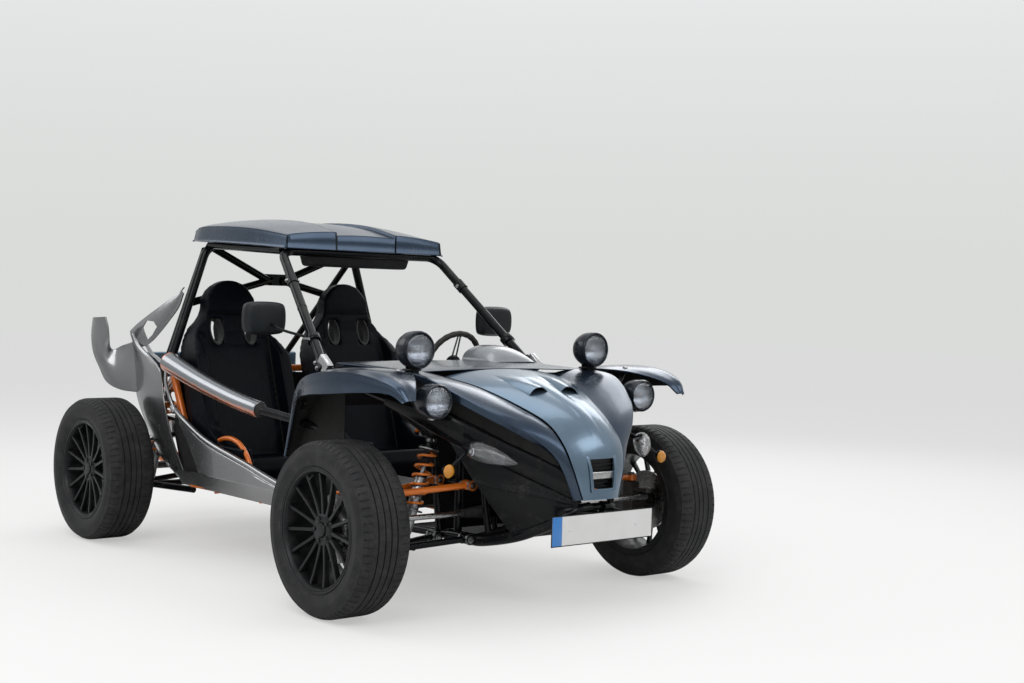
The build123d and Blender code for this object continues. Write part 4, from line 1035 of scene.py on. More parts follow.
console = bmesh.new()
block = bmesh.new()
bmesh.ops.create_cube(block, size=1.0)
bmesh.ops.scale(block, verts=block.verts, vec=CONSOLE_SIZE)
bmesh.ops.translate(block, verts=block.verts, vec=CONSOLE_PLACE)
for vert in block.verts:
    if vert.co.z < CONSOLE_PLACE[2]:
        vert.co.x *= 0.93
        vert.co.y += 0.014 if vert.co.y < CONSOLE_PLACE[1] else -0.010
rounded(block, 0.014, segments=4)
join(console, block)
for x in CONSOLE_SWITCHES:
    add_block(console, CONSOLE_SWITCH_SIZE, (x, 0.163, 1.356), 0.003, material=1)
piece("console_body", console, "chassis", "matte_black", dash_black, black_and_painted_shade, replaces="overhead_console")

# Cage: black lacquered steel tube, bent and welded, with sleeve joints in the screen pillars, cast clamps at
# their feet with a bright bolt through each, and a welded plate in the crossed bracing behind the seats.

PILLAR = ((0.554, -0.505, 0.880), (0.425, 0.060, 1.372))
JOINTS = (
    # share of the pillar, half length, radius, how many bolts
    (0.040, 0.030, 0.030, 2), (0.735, 0.026, 0.0245, 1), (0.50, 0.004, 0.0215, 0),
)
PILLAR_BORE = 0.0195
FOOT_CLAMP, FOOT_CLAMP_AT, FOOT_CLAMP_TILT = (0.030, 0.075, 0.055), (0.560, -0.512, 0.905), radians(38)


def dress(finish, *nodes):
    """Gives carried-over nodes a finish."""
    for name in nodes:
        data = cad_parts[name].data
        data.materials.clear()
        data.materials.append(finish.material)


dress(gloss_black, "cage_front", "cage_rear")
sleeves = bmesh.new()
for side, sign in SIDES:
    foot, head = mirrored(PILLAR, sign)
    run = (head - foot).normalized()
    out = run.cross(Vector((0, 0, 1))).normalized()
    for share, half, radius, bolts in JOINTS:
        middle = foot + (head - foot) * share
        sleeve = both_sides(((-half, PILLAR_BORE), (-half, radius - 0.002), (-half + 0.002, radius)))
        bolt = ((radius - 0.004, 0.009), (radius + 0.002, 0.009), (radius + 0.002, 0.0065),
                (radius + 0.007, 0.006), (radius + 0.008, 0.0))
        add_turned(sleeves, sleeve, middle, run, out, steps=36)
        for number in range(bolts):
            at = middle + run * (number - (bolts - 1) / 2) * half
            for way in (1, -1):
                add_turned(sleeves, bolt, at, out * way, run, steps=12, material=1)
    add_block(sleeves, FOOT_CLAMP, *mirrored([FOOT_CLAMP_AT], sign), 0.006, material=1,
              turn=Matrix.Rotation(FOOT_CLAMP_TILT, 3, "X"))
piece("cage_joints", sleeves, "chassis", "frame_paint", gloss_black, bright_steel)

# Rear quarters: silver fibre mouldings. A side panel stands ahead of each rear wheel, its rear flares out
# into a short wing with a hand hollow, and a horn with a window sweeps up to the hoop. A scoop lip edges
# the gap between.

OUTWARD = (1, 0, 0)
QUARTER_STATIONS = (
    # front edge, rear edge
    ((0.590, 0.560, 0.312), (0.575, 0.650, 0.312)),
    ((0.606, 0.588, 0.387), (0.588, 0.797, 0.387)),
    ((0.618, 0.640, 0.473), (0.596, 0.892, 0.473)),
    ((0.622, 0.690, 0.562), (0.604, 0.968, 0.562)),
    ((0.622, 0.742, 0.676), (0.606, 1.050, 0.676)),
    ((0.618, 0.790, 0.800), (0.606, 1.078, 0.800)),
    ((0.610, 0.905, 0.862), (0.604, 1.095, 0.862)),
    ((0.604, 1.030, 0.915), (0.602, 1.115, 0.925)),
    ((0.600, 1.095, 0.970), (0.599, 1.145, 0.978)),
)
FLARE_WAY = (0.8, -0.6, 0)
FLARE_STATIONS = (
    # top edge, bottom edge, bulge
    ((0.602, 1.092, 0.933), (0.606, 1.034, 0.690), 0.003),
    ((0.638, 1.160, 0.906), (0.655, 1.125, 0.698), 0.008),
    ((0.668, 1.183, 0.888), (0.698, 1.186, 0.732), 0.012),
    ((0.686, 1.186, 0.905), (0.718, 1.228, 0.800), 0.014),
    ((0.693, 1.180, 0.950), (0.725, 1.284, 0.872), 0.014),
    ((0.697, 1.185, 1.000), (0.726, 1.306, 0.955), 0.012),
    ((0.703, 1.200, 1.046), (0.722, 1.300, 1.040), 0.010),
)
HAND_HOLLOW, HOLLOW_R, HOLLOW_DEPTH = (0.668, 1.170, 0.880), 0.06, 0.010
HORN_STATIONS = (
    # lower edge, upper edge
    ((0.599, 1.075, 0.905), (0.599, 1.150, 0.980)),
    ((0.592, 1.010, 0.912), (0.592, 1.090, 1.016)),
    ((0.584, 0.950, 0.938), (0.580, 1.005, 1.060)),
    ((0.570, 0.893, 0.985), (0.563, 0.925, 1.102)),
    ((0.550, 0.845, 1.040), (0.542, 0.858, 1.142)),
    ((0.526, 0.800, 1.105), (0.520, 0.808, 1.178)),
    ((0.512, 0.780, 1.172), (0.508, 0.786, 1.200)),
)
HORN_WINDOW = ((1.024, 1.003), (1.002, 1.036), (0.938, 1.032), (0.912, 1.008), (0.944, 0.968), (0.978, 0.944))
SCOOP_LIP = ((0.835, 0.838), (0.900, 0.862), (0.960, 0.885), (1.060, 0.960))
BRACKETS = (
    # inner end, outer end
    ((0.560, 0.655, 0.575), (0.616, 0.780, 0.600)), ((0.462, 0.990, 0.728), (0.600, 0.986, 0.735)),
    ((0.567, 0.560, 0.352), (0.600, 0.640, 0.372)),
)
BRACKET_R, BRACKET_FLANGE_R = 0.008, 0.013


def arched_row(first, last, normal, bulge, roll):
    """Points across a strip that is arched along its normal, both edges turned in by the roll."""
    a, b, n = Vector(first), Vector(last), Vector(normal)
    along = (b - a).normalized()
    n = (n - along * n.dot(along)).normalized()
    row = [a + (b - a) * share + n * bulge * (1 - (2 * share - 1) ** 2)
           for share in (0.0, 0.06, 0.25, 0.5, 0.75, 0.94, 1.0)]
    return [row[0] - n * roll] + row + [row[-1] - n * roll]


def cut_window(mesh, corners, reach=0.13):
    """Opens a window through a side skin: its outline, given as (y, z), is cut in edge by edge near the
    window, and the faces inside are dropped."""
    edges = list(zip(corners, corners[1:] + corners[:1]))
    middle = Vector((sum(y for y, z in corners), sum(z for y, z in corners))) / len(corners)
    for (ay, az), (by, bz) in edges:
        region = [face for face in mesh.faces if (face.calc_center_median().yz - middle).length < reach]
        around = {edge for face in region for edge in face.edges}
        around |= {vert for face in region for vert in face.verts}
        bmesh.ops.bisect_plane(mesh, geom=region + list(around), plane_co=(0, ay, az),
                               plane_no=(0, bz - az, ay - by), dist=1e-5)

    def inside(y, z):
        sides = [(by - ay) * (z - az) - (bz - az) * (y - ay) for (ay, az), (by, bz) in edges]
        return all(side > 0 for side in sides) or all(side < 0 for side in sides)

    gone = [face for face in mesh.faces if inside(*face.calc_center_median().yz)]
    bmesh.ops.delete(mesh, geom=gone, context="FACES")


def silver_sheet(name, mesh, towards, *inner, rim=0.0015, replaces=None):
    """A silver side moulding, 4 mm thick."""
    sheet(name, mesh, towards, 0.004, "silver_paint", shaded_silver, *inner, rim=rim, replaces=replaces)


# The bonnet's silver paint, made darker and grey: painted shade on the side mouldings, the sills and their
# beads.
shaded_silver = paint("shaded_silver", (0.160, 0.162, 0.168, 1), (0.210, 0.212, 0.216, 1), 0.88, 0.22)
for side, sign in SIDES:
    panel = skin([arched_row(*edges, OUTWARD, 0.010, 0.006) for edges in QUARTER_STATIONS], 26, 60, sign)
    silver_sheet(f"quarter_panel_{side}", panel, (sign, 0, 0), under_black, replaces="rear_quarters")
    flare_rows = [arched_row(top, low, FLARE_WAY, bulge, 0.005) for top, low, bulge in FLARE_STATIONS]
    flare = skin(flare_rows, 26, 60, sign)
    hollow, inwards = mirrored((HAND_HOLLOW, (-0.6, 0.5, 0)), sign)
    for vert in flare.verts:
        away = (vert.co - hollow).length
        vert.co += inwards * HOLLOW_DEPTH * max(0.0, 1 - away / HOLLOW_R)
    silver_sheet(f"quarter_flare_{side}", flare, (sign * 0.8, -0.6, 0), under_black)
    horn = skin([arched_row(*edges, OUTWARD, 0.008, 0.005) for edges in HORN_STATIONS], 26, 60, sign)
    cut_window(horn, HORN_WINDOW)
    silver_sheet(f"quarter_horn_{side}", horn, (sign, 0, 0), under_black)
    lip = skin([arched_row((0.590, y, z), (0.566, y + 0.012, z + 0.004), (0, -0.5, 1), 0.002, 0.004)
                for y, z in SCOOP_LIP], 10, 30, sign)
    silver_sheet(f"scoop_lip_{side}", lip, (0, -0.5, 1))
    brackets = bmesh.new()
    for bracket in BRACKETS:
        start, end = mirrored(bracket, sign)
        run = end - start
        out = run.cross(Vector((0, 0, 1)))
        flange = ((run.length - 0.006, BRACKET_FLANGE_R), (run.length - 0.001, BRACKET_FLANGE_R),
                  (run.length - 0.001, 0.0))
        add_turned(brackets, rod(run.length, BRACKET_R), start, run, out, steps=20)
        add_turned(brackets, flange, start, run, out, steps=20)
    piece(f"quarter_brackets_{side}", brackets, "chassis", "frame_paint", gloss_black)

# Nose loop: the thick black tube under the nose, which the hull panels are bonded to, from the front bay's
# floor rails forwards and up to the chin.

LOOP_ROUTE = ((0.250, -0.960, 0.254), (0.251, -1.070, 0.256), *LOWER_LOOP, (0.030, -1.524, 0.416))
LOOP_R = 0.023


def tube(mesh, route, radius, steps=20, material=0):
    """A round tube along a route, with closed ends: a ring at every place, joined ring to ring. The radius is
    one value, or a list with one for each place."""
    points = [Vector(point) for point in route]
    radii = radius if isinstance(radius, list) else [radius] * len(points)
    extra = bmesh.new()
    rings = []
    aside = None
    for index, (point, here) in enumerate(zip(points, radii)):
        run = (points[min(index + 1, len(points) - 1)] - points[max(index - 1, 0)]).normalized()
        if aside is None:
            aside = run.orthogonal()
        aside = (aside - run * aside.dot(run)).normalized()
        place = Matrix((aside, run.cross(aside), run)).transposed().to_4x4()
        place.translation = point
        made = bmesh.ops.create_circle(extra, segments=steps, radius=here, matrix=place)
        rings.append(list({edge for vert in made["verts"] for edge in vert.link_edges}))
    for first, second in zip(rings, rings[1:]):
        bmesh.ops.bridge_loops(extra, edges=first + second)
    close_ends(extra)
    join(mesh, extra, material)


def close_ends(mesh):
    """Fills the open ends of a tube."""
    bmesh.ops.holes_fill(mesh, edges=[edge for edge in mesh.edges if len(edge.link_faces) == 1], sides=0)
    bmesh.ops.recalc_face_normals(mesh, faces=mesh.faces)


def curve(route, steps, sign=1):
    """Points along the smooth curve through a route, for the left side or mirrored for the right side."""
    places = mirrored(route, sign)
    return [between(places, step / steps) for step in range(steps + 1)]


for side, sign in SIDES:
    loop = bmesh.new()
    tube(loop, curve(LOOP_ROUTE, 48, sign), LOOP_R, steps=28)
    piece(f"nose_loop_{side}", loop, "chassis", "frame_paint", gloss_black)

# Sill panels: silver skins below the door openings, their top edge rolled round a bright bead that falls
# towards the front, with a crease low down. A thin silver tube runs from each bead up to the hoop's foot.

SILL_STATIONS = (
    # y, top z
    (0.610, 0.612), (0.520, 0.575), (0.400, 0.532), (0.280, 0.502), (0.150, 0.478), (0.000, 0.450),
    (-0.100, 0.428), (-0.220, 0.404), (-0.330, 0.384),
)
SILL_CREASE = 0.366
SILL_GAP = ((0.625, 0.582), (0.592, 0.563), (0.500, 0.476), (0.402, 0.369), (0.625, 0.360))
SILL_END_X = 0.592
SILL_END_BOARD = ((0.676, 0.612), (0.560, 0.572), (0.370, 0.350), (0.560, 0.326), (0.632, 0.420),
                  (0.690, 0.545))
BEAD_TOP, BEAD_WAY = (0.606, 0.672, 0.640), (0.10, 0.56, 0.82)
BEAD_ROUTE = (BEAD_TOP, *((0.602, y, top - 0.006) for y, top in SILL_STATIONS))
SILL_BEAD_R, BEAD_STAY_R = 0.0125, 0.0085
BEAD_STAY = (BEAD_TOP, (0.612, 0.700, 0.690), (0.612, 0.740, 0.748), (0.600, 0.768, 0.806))
BEAD_RING = ((-0.020, 0.0110), (-0.020, 0.0155), (-0.017, 0.0165), (0.010, 0.0165), (0.013, 0.0155),
             (0.013, 0.0100))


def sill_row(y, top):
    """The sill's section from the rolled top edge down to its foot."""
    section = ((0.594, top - 0.020), (0.600, top - 0.014), (0.608, top - 0.018), (0.611, top - 0.026),
               (0.614, (top + SILL_CREASE) / 2), (0.6190, SILL_CREASE + 0.008), (0.6200, SILL_CREASE),
               (0.6175, SILL_CREASE - 0.008), (0.600, 0.320), (0.588, 0.296))
    return [(x, y, z) for x, z in section]


for side, sign in SIDES:
    sill = skin([sill_row(*station) for station in SILL_STATIONS], 48, 70, sign)
    cut_window(sill, SILL_GAP, 0.25)
    silver_sheet(f"sill_skin_{side}", sill, (sign, 0, 0), under_black, rim=0.0012, replaces="sill_panels")
    bead = bmesh.new()
    tube(bead, curve(BEAD_ROUTE, 60, sign), SILL_BEAD_R, steps=24)
    tube(bead, curve(BEAD_STAY, 24, sign), BEAD_STAY_R)
    ring_at, ring_way = mirrored((BEAD_TOP, BEAD_WAY), sign)
    add_turned(bead, BEAD_RING, ring_at, ring_way, (1, 0, 0), steps=32, material=1)
    piece(f"sill_bead_{side}", bead, "chassis", "silver_paint", shaded_silver, bright_steel)
    board = bmesh.new()
    plate_from(board, [(sign * SILL_END_X, y, z) for y, z in SILL_END_BOARD], (sign * PLATE, 0, 0))
    piece(f"sill_end_board_{side}", board, "chassis", "matte_black", dash_black)

# Side bars: a black tube from the hoop's foot to the dashboard leg, in a fat tapered silver sleeve with a
# rolled seam at each end and a black rubber collar where the tube comes out. The sleeve's silver is painted
# darker as shade, and orange on its low side and on top of its rear end is a painted reflection of orange
# light.

SLEEVE_ROUTE = ((0.6380, 0.660, 0.8530), (0.6405, 0.600, 0.8390), (0.6420, 0.430, 0.7980),
                (0.6435, 0.250, 0.7600), (0.6448, 0.030, 0.7210), (0.6430, -0.160, 0.6960))
SLEEVE_SHAPE = (
    # share of its length, radius
    (0.0, 0.0175), (0.0, 0.0400), (0.004, 0.0455), (0.013, 0.0480), (0.021, 0.0465), (0.027, 0.0478),
    (0.5, 0.0415), (0.984, 0.0352), (0.989, 0.0345), (0.995, 0.0350), (1.0, 0.0330), (1.0, 0.0175),
)
SLEEVE_STEPS, SPINE_STEPS = 40, 50
BAR_ROUTE = ((0.583, 0.790, 0.850), (0.612, 0.712, 0.8565), (0.630, 0.675, 0.8560), (0.6405, 0.600, 0.8390),
             (0.6420, 0.430, 0.7980), (0.6448, 0.030, 0.7210), (0.6430, -0.160, 0.6960),
             (0.630, -0.230, 0.6880), (0.560, -0.545, 0.645))
BAR_R = 0.018
COLLAR = ((-0.002, 0.018), (-0.002, 0.029), (0.006, 0.030), (0.010, 0.027), (0.018, 0.0215), (0.022, 0.018))


def clip(value):
    return min(1.0, max(0.0, value))


def sleeve_stops():
    """Shares of the sleeve's length and its radii there, with steps added on its long straight tapers."""
    stops = []
    for (share, radius), (next_share, next_radius) in zip(SLEEVE_SHAPE, SLEEVE_SHAPE[1:]):
        parts = max(1, round((next_share - share) * SLEEVE_STEPS))
        step, growth = (next_share - share) / parts, (next_radius - radius) / parts
        stops += [(share + step * part, radius + growth * part) for part in range(parts)]
    return stops + [SLEEVE_SHAPE[-1]]


sleeve_paint = Finish("sleeve_paint", Metallic=0.85, Coat_Weight=0.6, Coat_Roughness=0.06)
# The orange on the sleeve's low outer side and on top of its rear end is a painted reflection of orange
# light, laid on by the attribute. The silver is painted darker, as shade.
orange_reflection_band = sleeve_paint.make("Attribute", {"attribute_name": "orange_reflection"}, {}, "Fac")
rubbed = sleeve_paint.noise(0.05, detail=5).fade(0.3, 0.75)
orange_reflection_share = orange_reflection_band * (1 - rubbed * 0.25)
sleeve_paint.feed(
    Base_Color=sleeve_paint.mix(orange_reflection_share, (0.165, 0.175, 0.190, 1), (0.46, 0.125, 0.040, 1)),
    Roughness=rubbed * 0.04 + 0.22,
)
gloss_orange = paint("frame_orange", (0.60, 0.150, 0.018, 1), (0.52, 0.115, 0.012, 1), 0.15, 0.32)
collar_rubber = dull_black("collar_rubber", 0.55, cloud=0.02)

for side, sign in SIDES:
    bar = bmesh.new()
    tube(bar, curve(BAR_ROUTE, 40, sign), BAR_R, steps=28)
    sleeve, stops = mirrored(SLEEVE_ROUTE, sign), sleeve_stops()
    apart = Vector((0, 1e-5, 0))
    tube(bar, [between(sleeve, share) - apart * number for number, (share, radius) in enumerate(stops)],
         [radius for share, radius in stops], steps=56, material=1)
    run = sleeve[-1] - sleeve[-2]
    add_turned(bar, COLLAR, sleeve[-1], run, run.cross(Vector((0, 0, 1))), steps=40, material=2)
    # Marks where the painted orange reflection goes: the side that faces down and outwards, and the top of
    # the rear end.
    orange_reflection = bar.verts.layers.float.new("orange_reflection")
    spine_points = curve(SLEEVE_ROUTE, SPINE_STEPS, sign)
    for vert in bar.verts:
        near = min(range(SPINE_STEPS + 1), key=lambda step: (spine_points[step] - vert.co).length)
        spread = vert.co - spine_points[near]
        if spread.length > BAR_R + 0.002:
            lower = (-spread.z * 0.53 + sign * spread.x * 0.85) / spread.length
            crown = max(0.0, 1 - near / 4) * clip((spread.z / spread.length - 0.2) / 0.3)
            vert[orange_reflection] = max(clip((lower - 0.87) / 0.08), crown)
    piece(f"side_bar_{side}", bar, "chassis", "silver_paint", gloss_black, sleeve_paint, collar_rubber,
          replaces="side_bars")

# Seats: two one-piece racing buckets, foam padded over a shell and covered in black vinyl, with raised
# sides, a domed head, and a stitched seam along each side roll and under the head. Two belt slots, edged
# with moulded rings, go through each back.

SEAT_X, SEAT_VOXEL = 0.325, 0.0095
SEAT_MIDDLE_HALF, SEAM_TOP = 0.176, 0.97
HEAD_SEAM, HEAD_SEAM_HALF, HEAD_SEAM_BEND = 1.085, 0.14, 0.12
SEAM_DEPTH, SEAM_HALF = 0.0030, 0.0050
PUFF, PUFF_REACH = 0.003, 0.03
SWELL_PRESSURE, SWELL_CAP, SWELL_FRAMES = 4.0, 0.006, 20
SLOT_X, SLOT_Z, SLOT_STEPS = 0.088, 1.002, 32
SLOT_RINGS = (
    # half width, half height
    (0.036, 0.066), (0.029, 0.059),
)
SLOT_WALL = 0.045
BACK_Y, BACK_Z, BACK_SLOPE = 0.636, 1.010, 0.34


def settle(thing):
    """Applies an object's modifiers as they stand at the current frame."""
    graph = bpy.context.evaluated_depsgraph_get()
    data = bpy.data.meshes.new_from_object(thing.evaluated_get(graph), depsgraph=graph)
    thing.modifiers.clear()
    thing.data = data


def left_seat():
    """A merged, evenly remeshed copy of the CAD's left-hand seat."""
    copy = bmesh.new()
    copy.from_mesh(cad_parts["seats"].data)
    bmesh.ops.remove_doubles(copy, verts=copy.verts, dist=1e-5)
    bmesh.ops.delete(copy, geom=[vert for vert in copy.verts if vert.co.x <= 0], context="VERTS")
    data = bpy.data.meshes.new("soft_copy")
    copy.to_mesh(data)
    copy.free()
    thing = stand("soft_copy", data)
    remesh = thing.modifiers.new("even", "REMESH")
    remesh.mode = "VOXEL"
    remesh.voxel_size = SEAT_VOXEL
    settle(thing)
    return thing


def swell(thing):
    """Fills the cover like foam under cloth, and lets no point move further than the cap."""
    start = [vert.co.copy() for vert in thing.data.vertices]
    cloth = thing.modifiers.new("cloth", "CLOTH")
    cloth.settings.use_pressure = True
    cloth.settings.uniform_pressure_force = SWELL_PRESSURE
    cloth.settings.effector_weights.gravity = 0.0
    cloth.settings.quality = 4
    cloth.point_cache.frame_start = 1
    cloth.point_cache.frame_end = SWELL_FRAMES
    for number in range(1, SWELL_FRAMES + 1):
        bpy.context.scene.frame_set(number)
    settle(thing)
    bpy.context.scene.frame_set(1)
    for vert, before in zip(thing.data.vertices, start):
        moved = vert.co - before
        if moved.length > SWELL_CAP:
            vert.co = before + moved * (SWELL_CAP / moved.length)


def seam_distance(x, z):
    """How far a point of the seat's face lies from its nearest seam, in metres."""
    near = [1.0]
    if z < SEAM_TOP:
        near.append(abs(abs(x) - SEAT_MIDDLE_HALF))
    if abs(x) < HEAD_SEAM_HALF:
        near.append(abs(z - HEAD_SEAM - HEAD_SEAM_BEND * x * x))
    return min(near)


def sew(cover):
    """Sinks the seams into the cover and puffs it up a little between them. The attribute darkens
    the stitches."""
    cover.normal_update()
    seam = cover.verts.layers.float.new("seam")
    moves = []
    for vert in cover.verts:
        facing = vert.normal.y < -0.25 or (vert.normal.z > 0.35 and vert.co.y < 0.55)
        gap = seam_distance(vert.co.x - SEAT_X, vert.co.z) if facing else 1.0
        groove = max(0.0, 1 - (gap / (2 * SEAM_HALF)) ** 2) ** 2
        puff = PUFF * min(1.0, gap / PUFF_REACH) if gap < 0.5 else 0.0
        moves.append((vert, vert.normal * (puff - SEAM_DEPTH * groove), groove))
    for vert, shift, groove in moves:
        vert.co += shift
        vert[seam] = groove ** 3


vinyl = Finish("seat_vinyl", Specular_IOR_Level=0.05)
seam_line = vinyl.make("Attribute", {"attribute_name": "seam"}, {}, "Fac")
grain = vinyl.specks(0.0022)
worn = vinyl.noise(0.12, detail=5).fade(0.45, 0.75)
hide = vinyl.mix(worn, (0.0018, 0.0024, 0.0040, 1), (0.0045, 0.0055, 0.0080, 1))
vinyl.feed(
    Base_Color=vinyl.mix(seam_line, hide, (0.0015, 0.0015, 0.0015, 1)),
    Roughness=worn * 0.12 + grain * 0.1 + 0.34,
    Normal=vinyl.bump(grain * 0.2 + vinyl.noise(0.05, detail=3) * 2.0, 0.0012),
)

seat = left_seat()
swell(seat)
finer = seat.modifiers.new("finer", "SUBSURF")
finer.levels = finer.render_levels = 1
settle(seat)
cover = bmesh.new()
cover.from_mesh(seat.data)
bpy.data.objects.remove(seat)
bmesh.ops.smooth_vert(cover, verts=cover.verts, factor=0.5, use_axis_x=True, use_axis_y=True, use_axis_z=True)
sew(cover)
for side, mesh, shift in (("left", cover, 0.0), ("right", cover.copy(), -2 * SEAT_X)):
    bmesh.ops.translate(mesh, verts=mesh.verts, vec=(shift, 0, 0))
    padded = piece(f"seat_{side}", mesh, "chassis", "seat_shell", vinyl, smooth=180, replaces="seats")

for side, sign in SIDES:
    rings = bmesh.new()
    for x in (-SLOT_X, SLOT_X):
        edges = []
        for half_width, half_height in SLOT_RINGS:
            turns = [2 * pi * step / SLOT_STEPS for step in range(SLOT_STEPS)]
            ring = [(sign * SEAT_X + x + half_width * cos(turn), 0, SLOT_Z + half_height * sin(turn))
                    for turn in turns]
            edges += outline(rings, ring, True)[1]
        bmesh.ops.bridge_loops(rings, edges=edges)
    for vert in rings.verts:
        vert.co.y = BACK_Y - (BACK_Z - vert.co.z) * BACK_SLOPE
    face_up(rings, (0, -1, 0))
    bmesh.ops.solidify(rings, geom=rings.faces[:], thickness=SLOT_WALL)
    piece(f"belt_grommets_{side}", rings, "chassis", "seat_shell", black_and_painted_shade)

# Seat rails: a bent steel tube outboard of each seat, painted orange like the frame, that carries the
# cushion.

SEAT_RAIL = ((0.546, 0.540, 0.395), (0.547, 0.470, 0.445), (0.548, 0.398, 0.494), (0.548, 0.320, 0.527),
             (0.548, 0.250, 0.536), (0.548, 0.180, 0.524), (0.548, 0.125, 0.494), (0.547, 0.080, 0.440),
             (0.546, 0.060, 0.370))
for side, sign in SIDES:
    rail = bmesh.new()
    tube(rail, curve(SEAT_RAIL, 32, sign), 0.011)
    piece(f"seat_rail_{side}", rail, "chassis", "frame_orange", gloss_orange)

# Spot lamps and head lamps: round black pressed bowls with a bezel ring, a clear pressed glass, a faceted
# bright reflector and its bulb, each on a forked foot with a bolt.

LAMPS = (
    # kind, lens centre, lens radius, bowl radius, depth
    ("spot", (0.462, -1.015, 0.986), 0.063, 0.0725, 0.100),
    ("head", (0.534, -1.232, 0.805), 0.058, 0.0650, 0.112),
)
BOWL = (
    # share of depth, share of the bowl's radius
    (0.30, 1.0), (0.55, 0.96), (0.78, 0.82), (0.92, 0.58), (0.985, 0.28), (1.0, 0.0),
)
DISH = (
    # distance behind a 63 mm lens, share of the lens radius
    (0.022, 0.86), (0.040, 0.56), (0.049, 0.26), (0.051, 0.0),
)
DISH_LENS_R = 0.063
LAMP_BULB = ((0.051, 0.011), (0.030, 0.011), (0.026, 0.009), (0.021, 0.0))
LAMP_LENS = (
    # distance behind the lens plane, share of the lens radius
    (-0.003, 0.93), (-0.007, 0.70), (-0.0095, 0.38), (-0.0105, 0.0),
)
SPOT_FOOT = (
    # size, centre
    ((0.034, 0.006, 0.050), (0.462, -0.990, 0.914)),
    ((0.034, 0.006, 0.050), (0.462, -0.950, 0.914)),
    ((0.052, 0.056, 0.007), (0.462, -0.968, 0.9085)),
)
SPOT_BOLT, SPOT_BOLT_AT = ((-0.030, 0.0), (-0.030, 0.007), (-0.024, 0.009)), (0.462, -0.970, 0.920)
HEAD_FOOT = ((0.534, -1.190, 0.770), (0.522, -1.178, 0.760), (0.500, -1.150, 0.750))
HEAD_BOSS = ((-0.012, 0.0), (-0.012, 0.013), (-0.004, 0.015), (0.012, 0.015), (0.014, 0.0))
HEAD_BOSS_AT = (0.534, -1.195, 0.748)

lamp_glass = Finish("lamp_glass", Base_Color=(0.96, 0.98, 1.0, 1), Transmission_Weight=1.0, IOR=1.45)
flutes = lamp_glass.make("TexWave", {"bands_direction": "X"},
                         {"Vector": lamp_glass.place(), "Scale": 55.0, "Distortion": 0.6})
lamp_glass.feed(Roughness=lamp_glass.noise(0.02) * 0.05 + 0.02, Normal=lamp_glass.bump(flutes, 0.0008))
reflector = Finish("lamp_reflector", Metallic=1.0)
facets = reflector.facets(95.0)
reflector.feed(Base_Color=reflector.mix(facets, (0.50, 0.52, 0.56, 1), (0.16, 0.18, 0.22, 1)),
               Roughness=facets * 0.15 + 0.08, Normal=reflector.bump(facets, 0.0015))
lamp_black = paint("lamp_black", (0.010, 0.013, 0.017, 1), (0.016, 0.019, 0.024, 1), 0.4, 0.25, 0.2)


def lamp(kind, side, centre, lens_r, bowl_r, depth):
    """A round lamp facing forwards, its lens plane through the centre."""
    bowl = bmesh.new()
    shell = [(0.012, lens_r + 0.004), (0.012, bowl_r - 0.001)]
    shell += [(depth * deep, bowl_r * wide) for deep, wide in BOWL]
    add_turned(bowl, shell, centre, steps=56)
    bezel = ((0.004, lens_r - 0.002), (-0.003, lens_r + 0.001), (-0.005, lens_r + 0.004),
             (-0.003, bowl_r - 0.002), (0.003, bowl_r + 0.001), (0.013, bowl_r + 0.001),
             (0.015, bowl_r - 0.002))
    add_turned(bowl, bezel, centre, steps=56)
    scale = lens_r / DISH_LENS_R
    dish = [(0.003, lens_r)] + [(deep * scale, lens_r * wide) for deep, wide in DISH]
    add_turned(bowl, dish, centre, material=1)
    add_turned(bowl, [(deep * scale, radius) for deep, radius in LAMP_BULB], centre, steps=24, material=2)
    for face in bowl.faces:
        if face.material_index == 1 and face.normal.y > 0:
            face.normal_flip()
    piece(f"{kind}_{side}_bowl", bowl, "chassis", "lamp_black", lamp_black, reflector, bright_steel,
          smooth=38, replaces=f"{kind}_lamps")
    glass = bmesh.new()
    add_turned(glass, [(0.002, lens_r + 0.001)] + [(deep, lens_r * wide) for deep, wide in LAMP_LENS], centre)
    face_up(glass, (0, -1, 0))
    walled(piece(f"{kind}_{side}_glass", glass, "chassis", "lamp_clear", lamp_glass), 0.002)


for side, sign in SIDES:
    for kind, centre, *sizes in LAMPS:
        lamp(kind, side, *mirrored([centre], sign), *sizes)
    feet = bmesh.new()
    for size, place in SPOT_FOOT:
        add_block(feet, size, *mirrored([place], sign), 0.002)
    bolt_at, boss_at = mirrored((SPOT_BOLT_AT, HEAD_BOSS_AT), sign)
    add_turned(feet, both_sides(SPOT_BOLT), bolt_at, steps=16, material=1)
    tube(feet, mirrored(HEAD_FOOT, sign), 0.010)
    add_turned(feet, HEAD_BOSS, boss_at, (0, 0, 1), (1, 0, 0), steps=20, material=1)
    piece(f"lamp_feet_{side}", feet, "chassis", "lamp_black", gloss_black, bright_steel)

# Nose lamps: clear teardrop day lamps on black stems below the wings, a bright reflector and three bulbs
# inside each, and a round amber indicator on a stalk outboard of each.

DROP = ((0.000, 0.010), (0.004, 0.017), (0.018, 0.030), (0.050, 0.036), (0.100, 0.033), (0.150, 0.022),
        (0.185, 0.010), (0.197, 0.004), (0.200, 0.0))
DROP_ENDS = ((0.455, -1.306, 0.642), (0.303, -1.476, 0.577))
DAY_BULBS = (0.22, 0.42, 0.60)
DAY_BULB = ((0.0, 0.013), (0.004, 0.013), (0.006, 0.009), (0.012, 0.008), (0.016, 0.0))
DAY_CAP = ((-0.016, 0.0), (-0.014, 0.011), (-0.002, 0.018), (0.010, 0.0265), (0.013, 0.0275), (0.014, 0.024))
DAY_STEM = ((0.420, -1.335, 0.638), (0.412, -1.290, 0.652), (0.395, -1.200, 0.690))
INDICATOR_STEM = ((0.440, -1.310, 0.640), (0.490, -1.314, 0.604), (0.552, -1.318, 0.561))
INDICATOR_AT = (0.552, -1.324, 0.561)
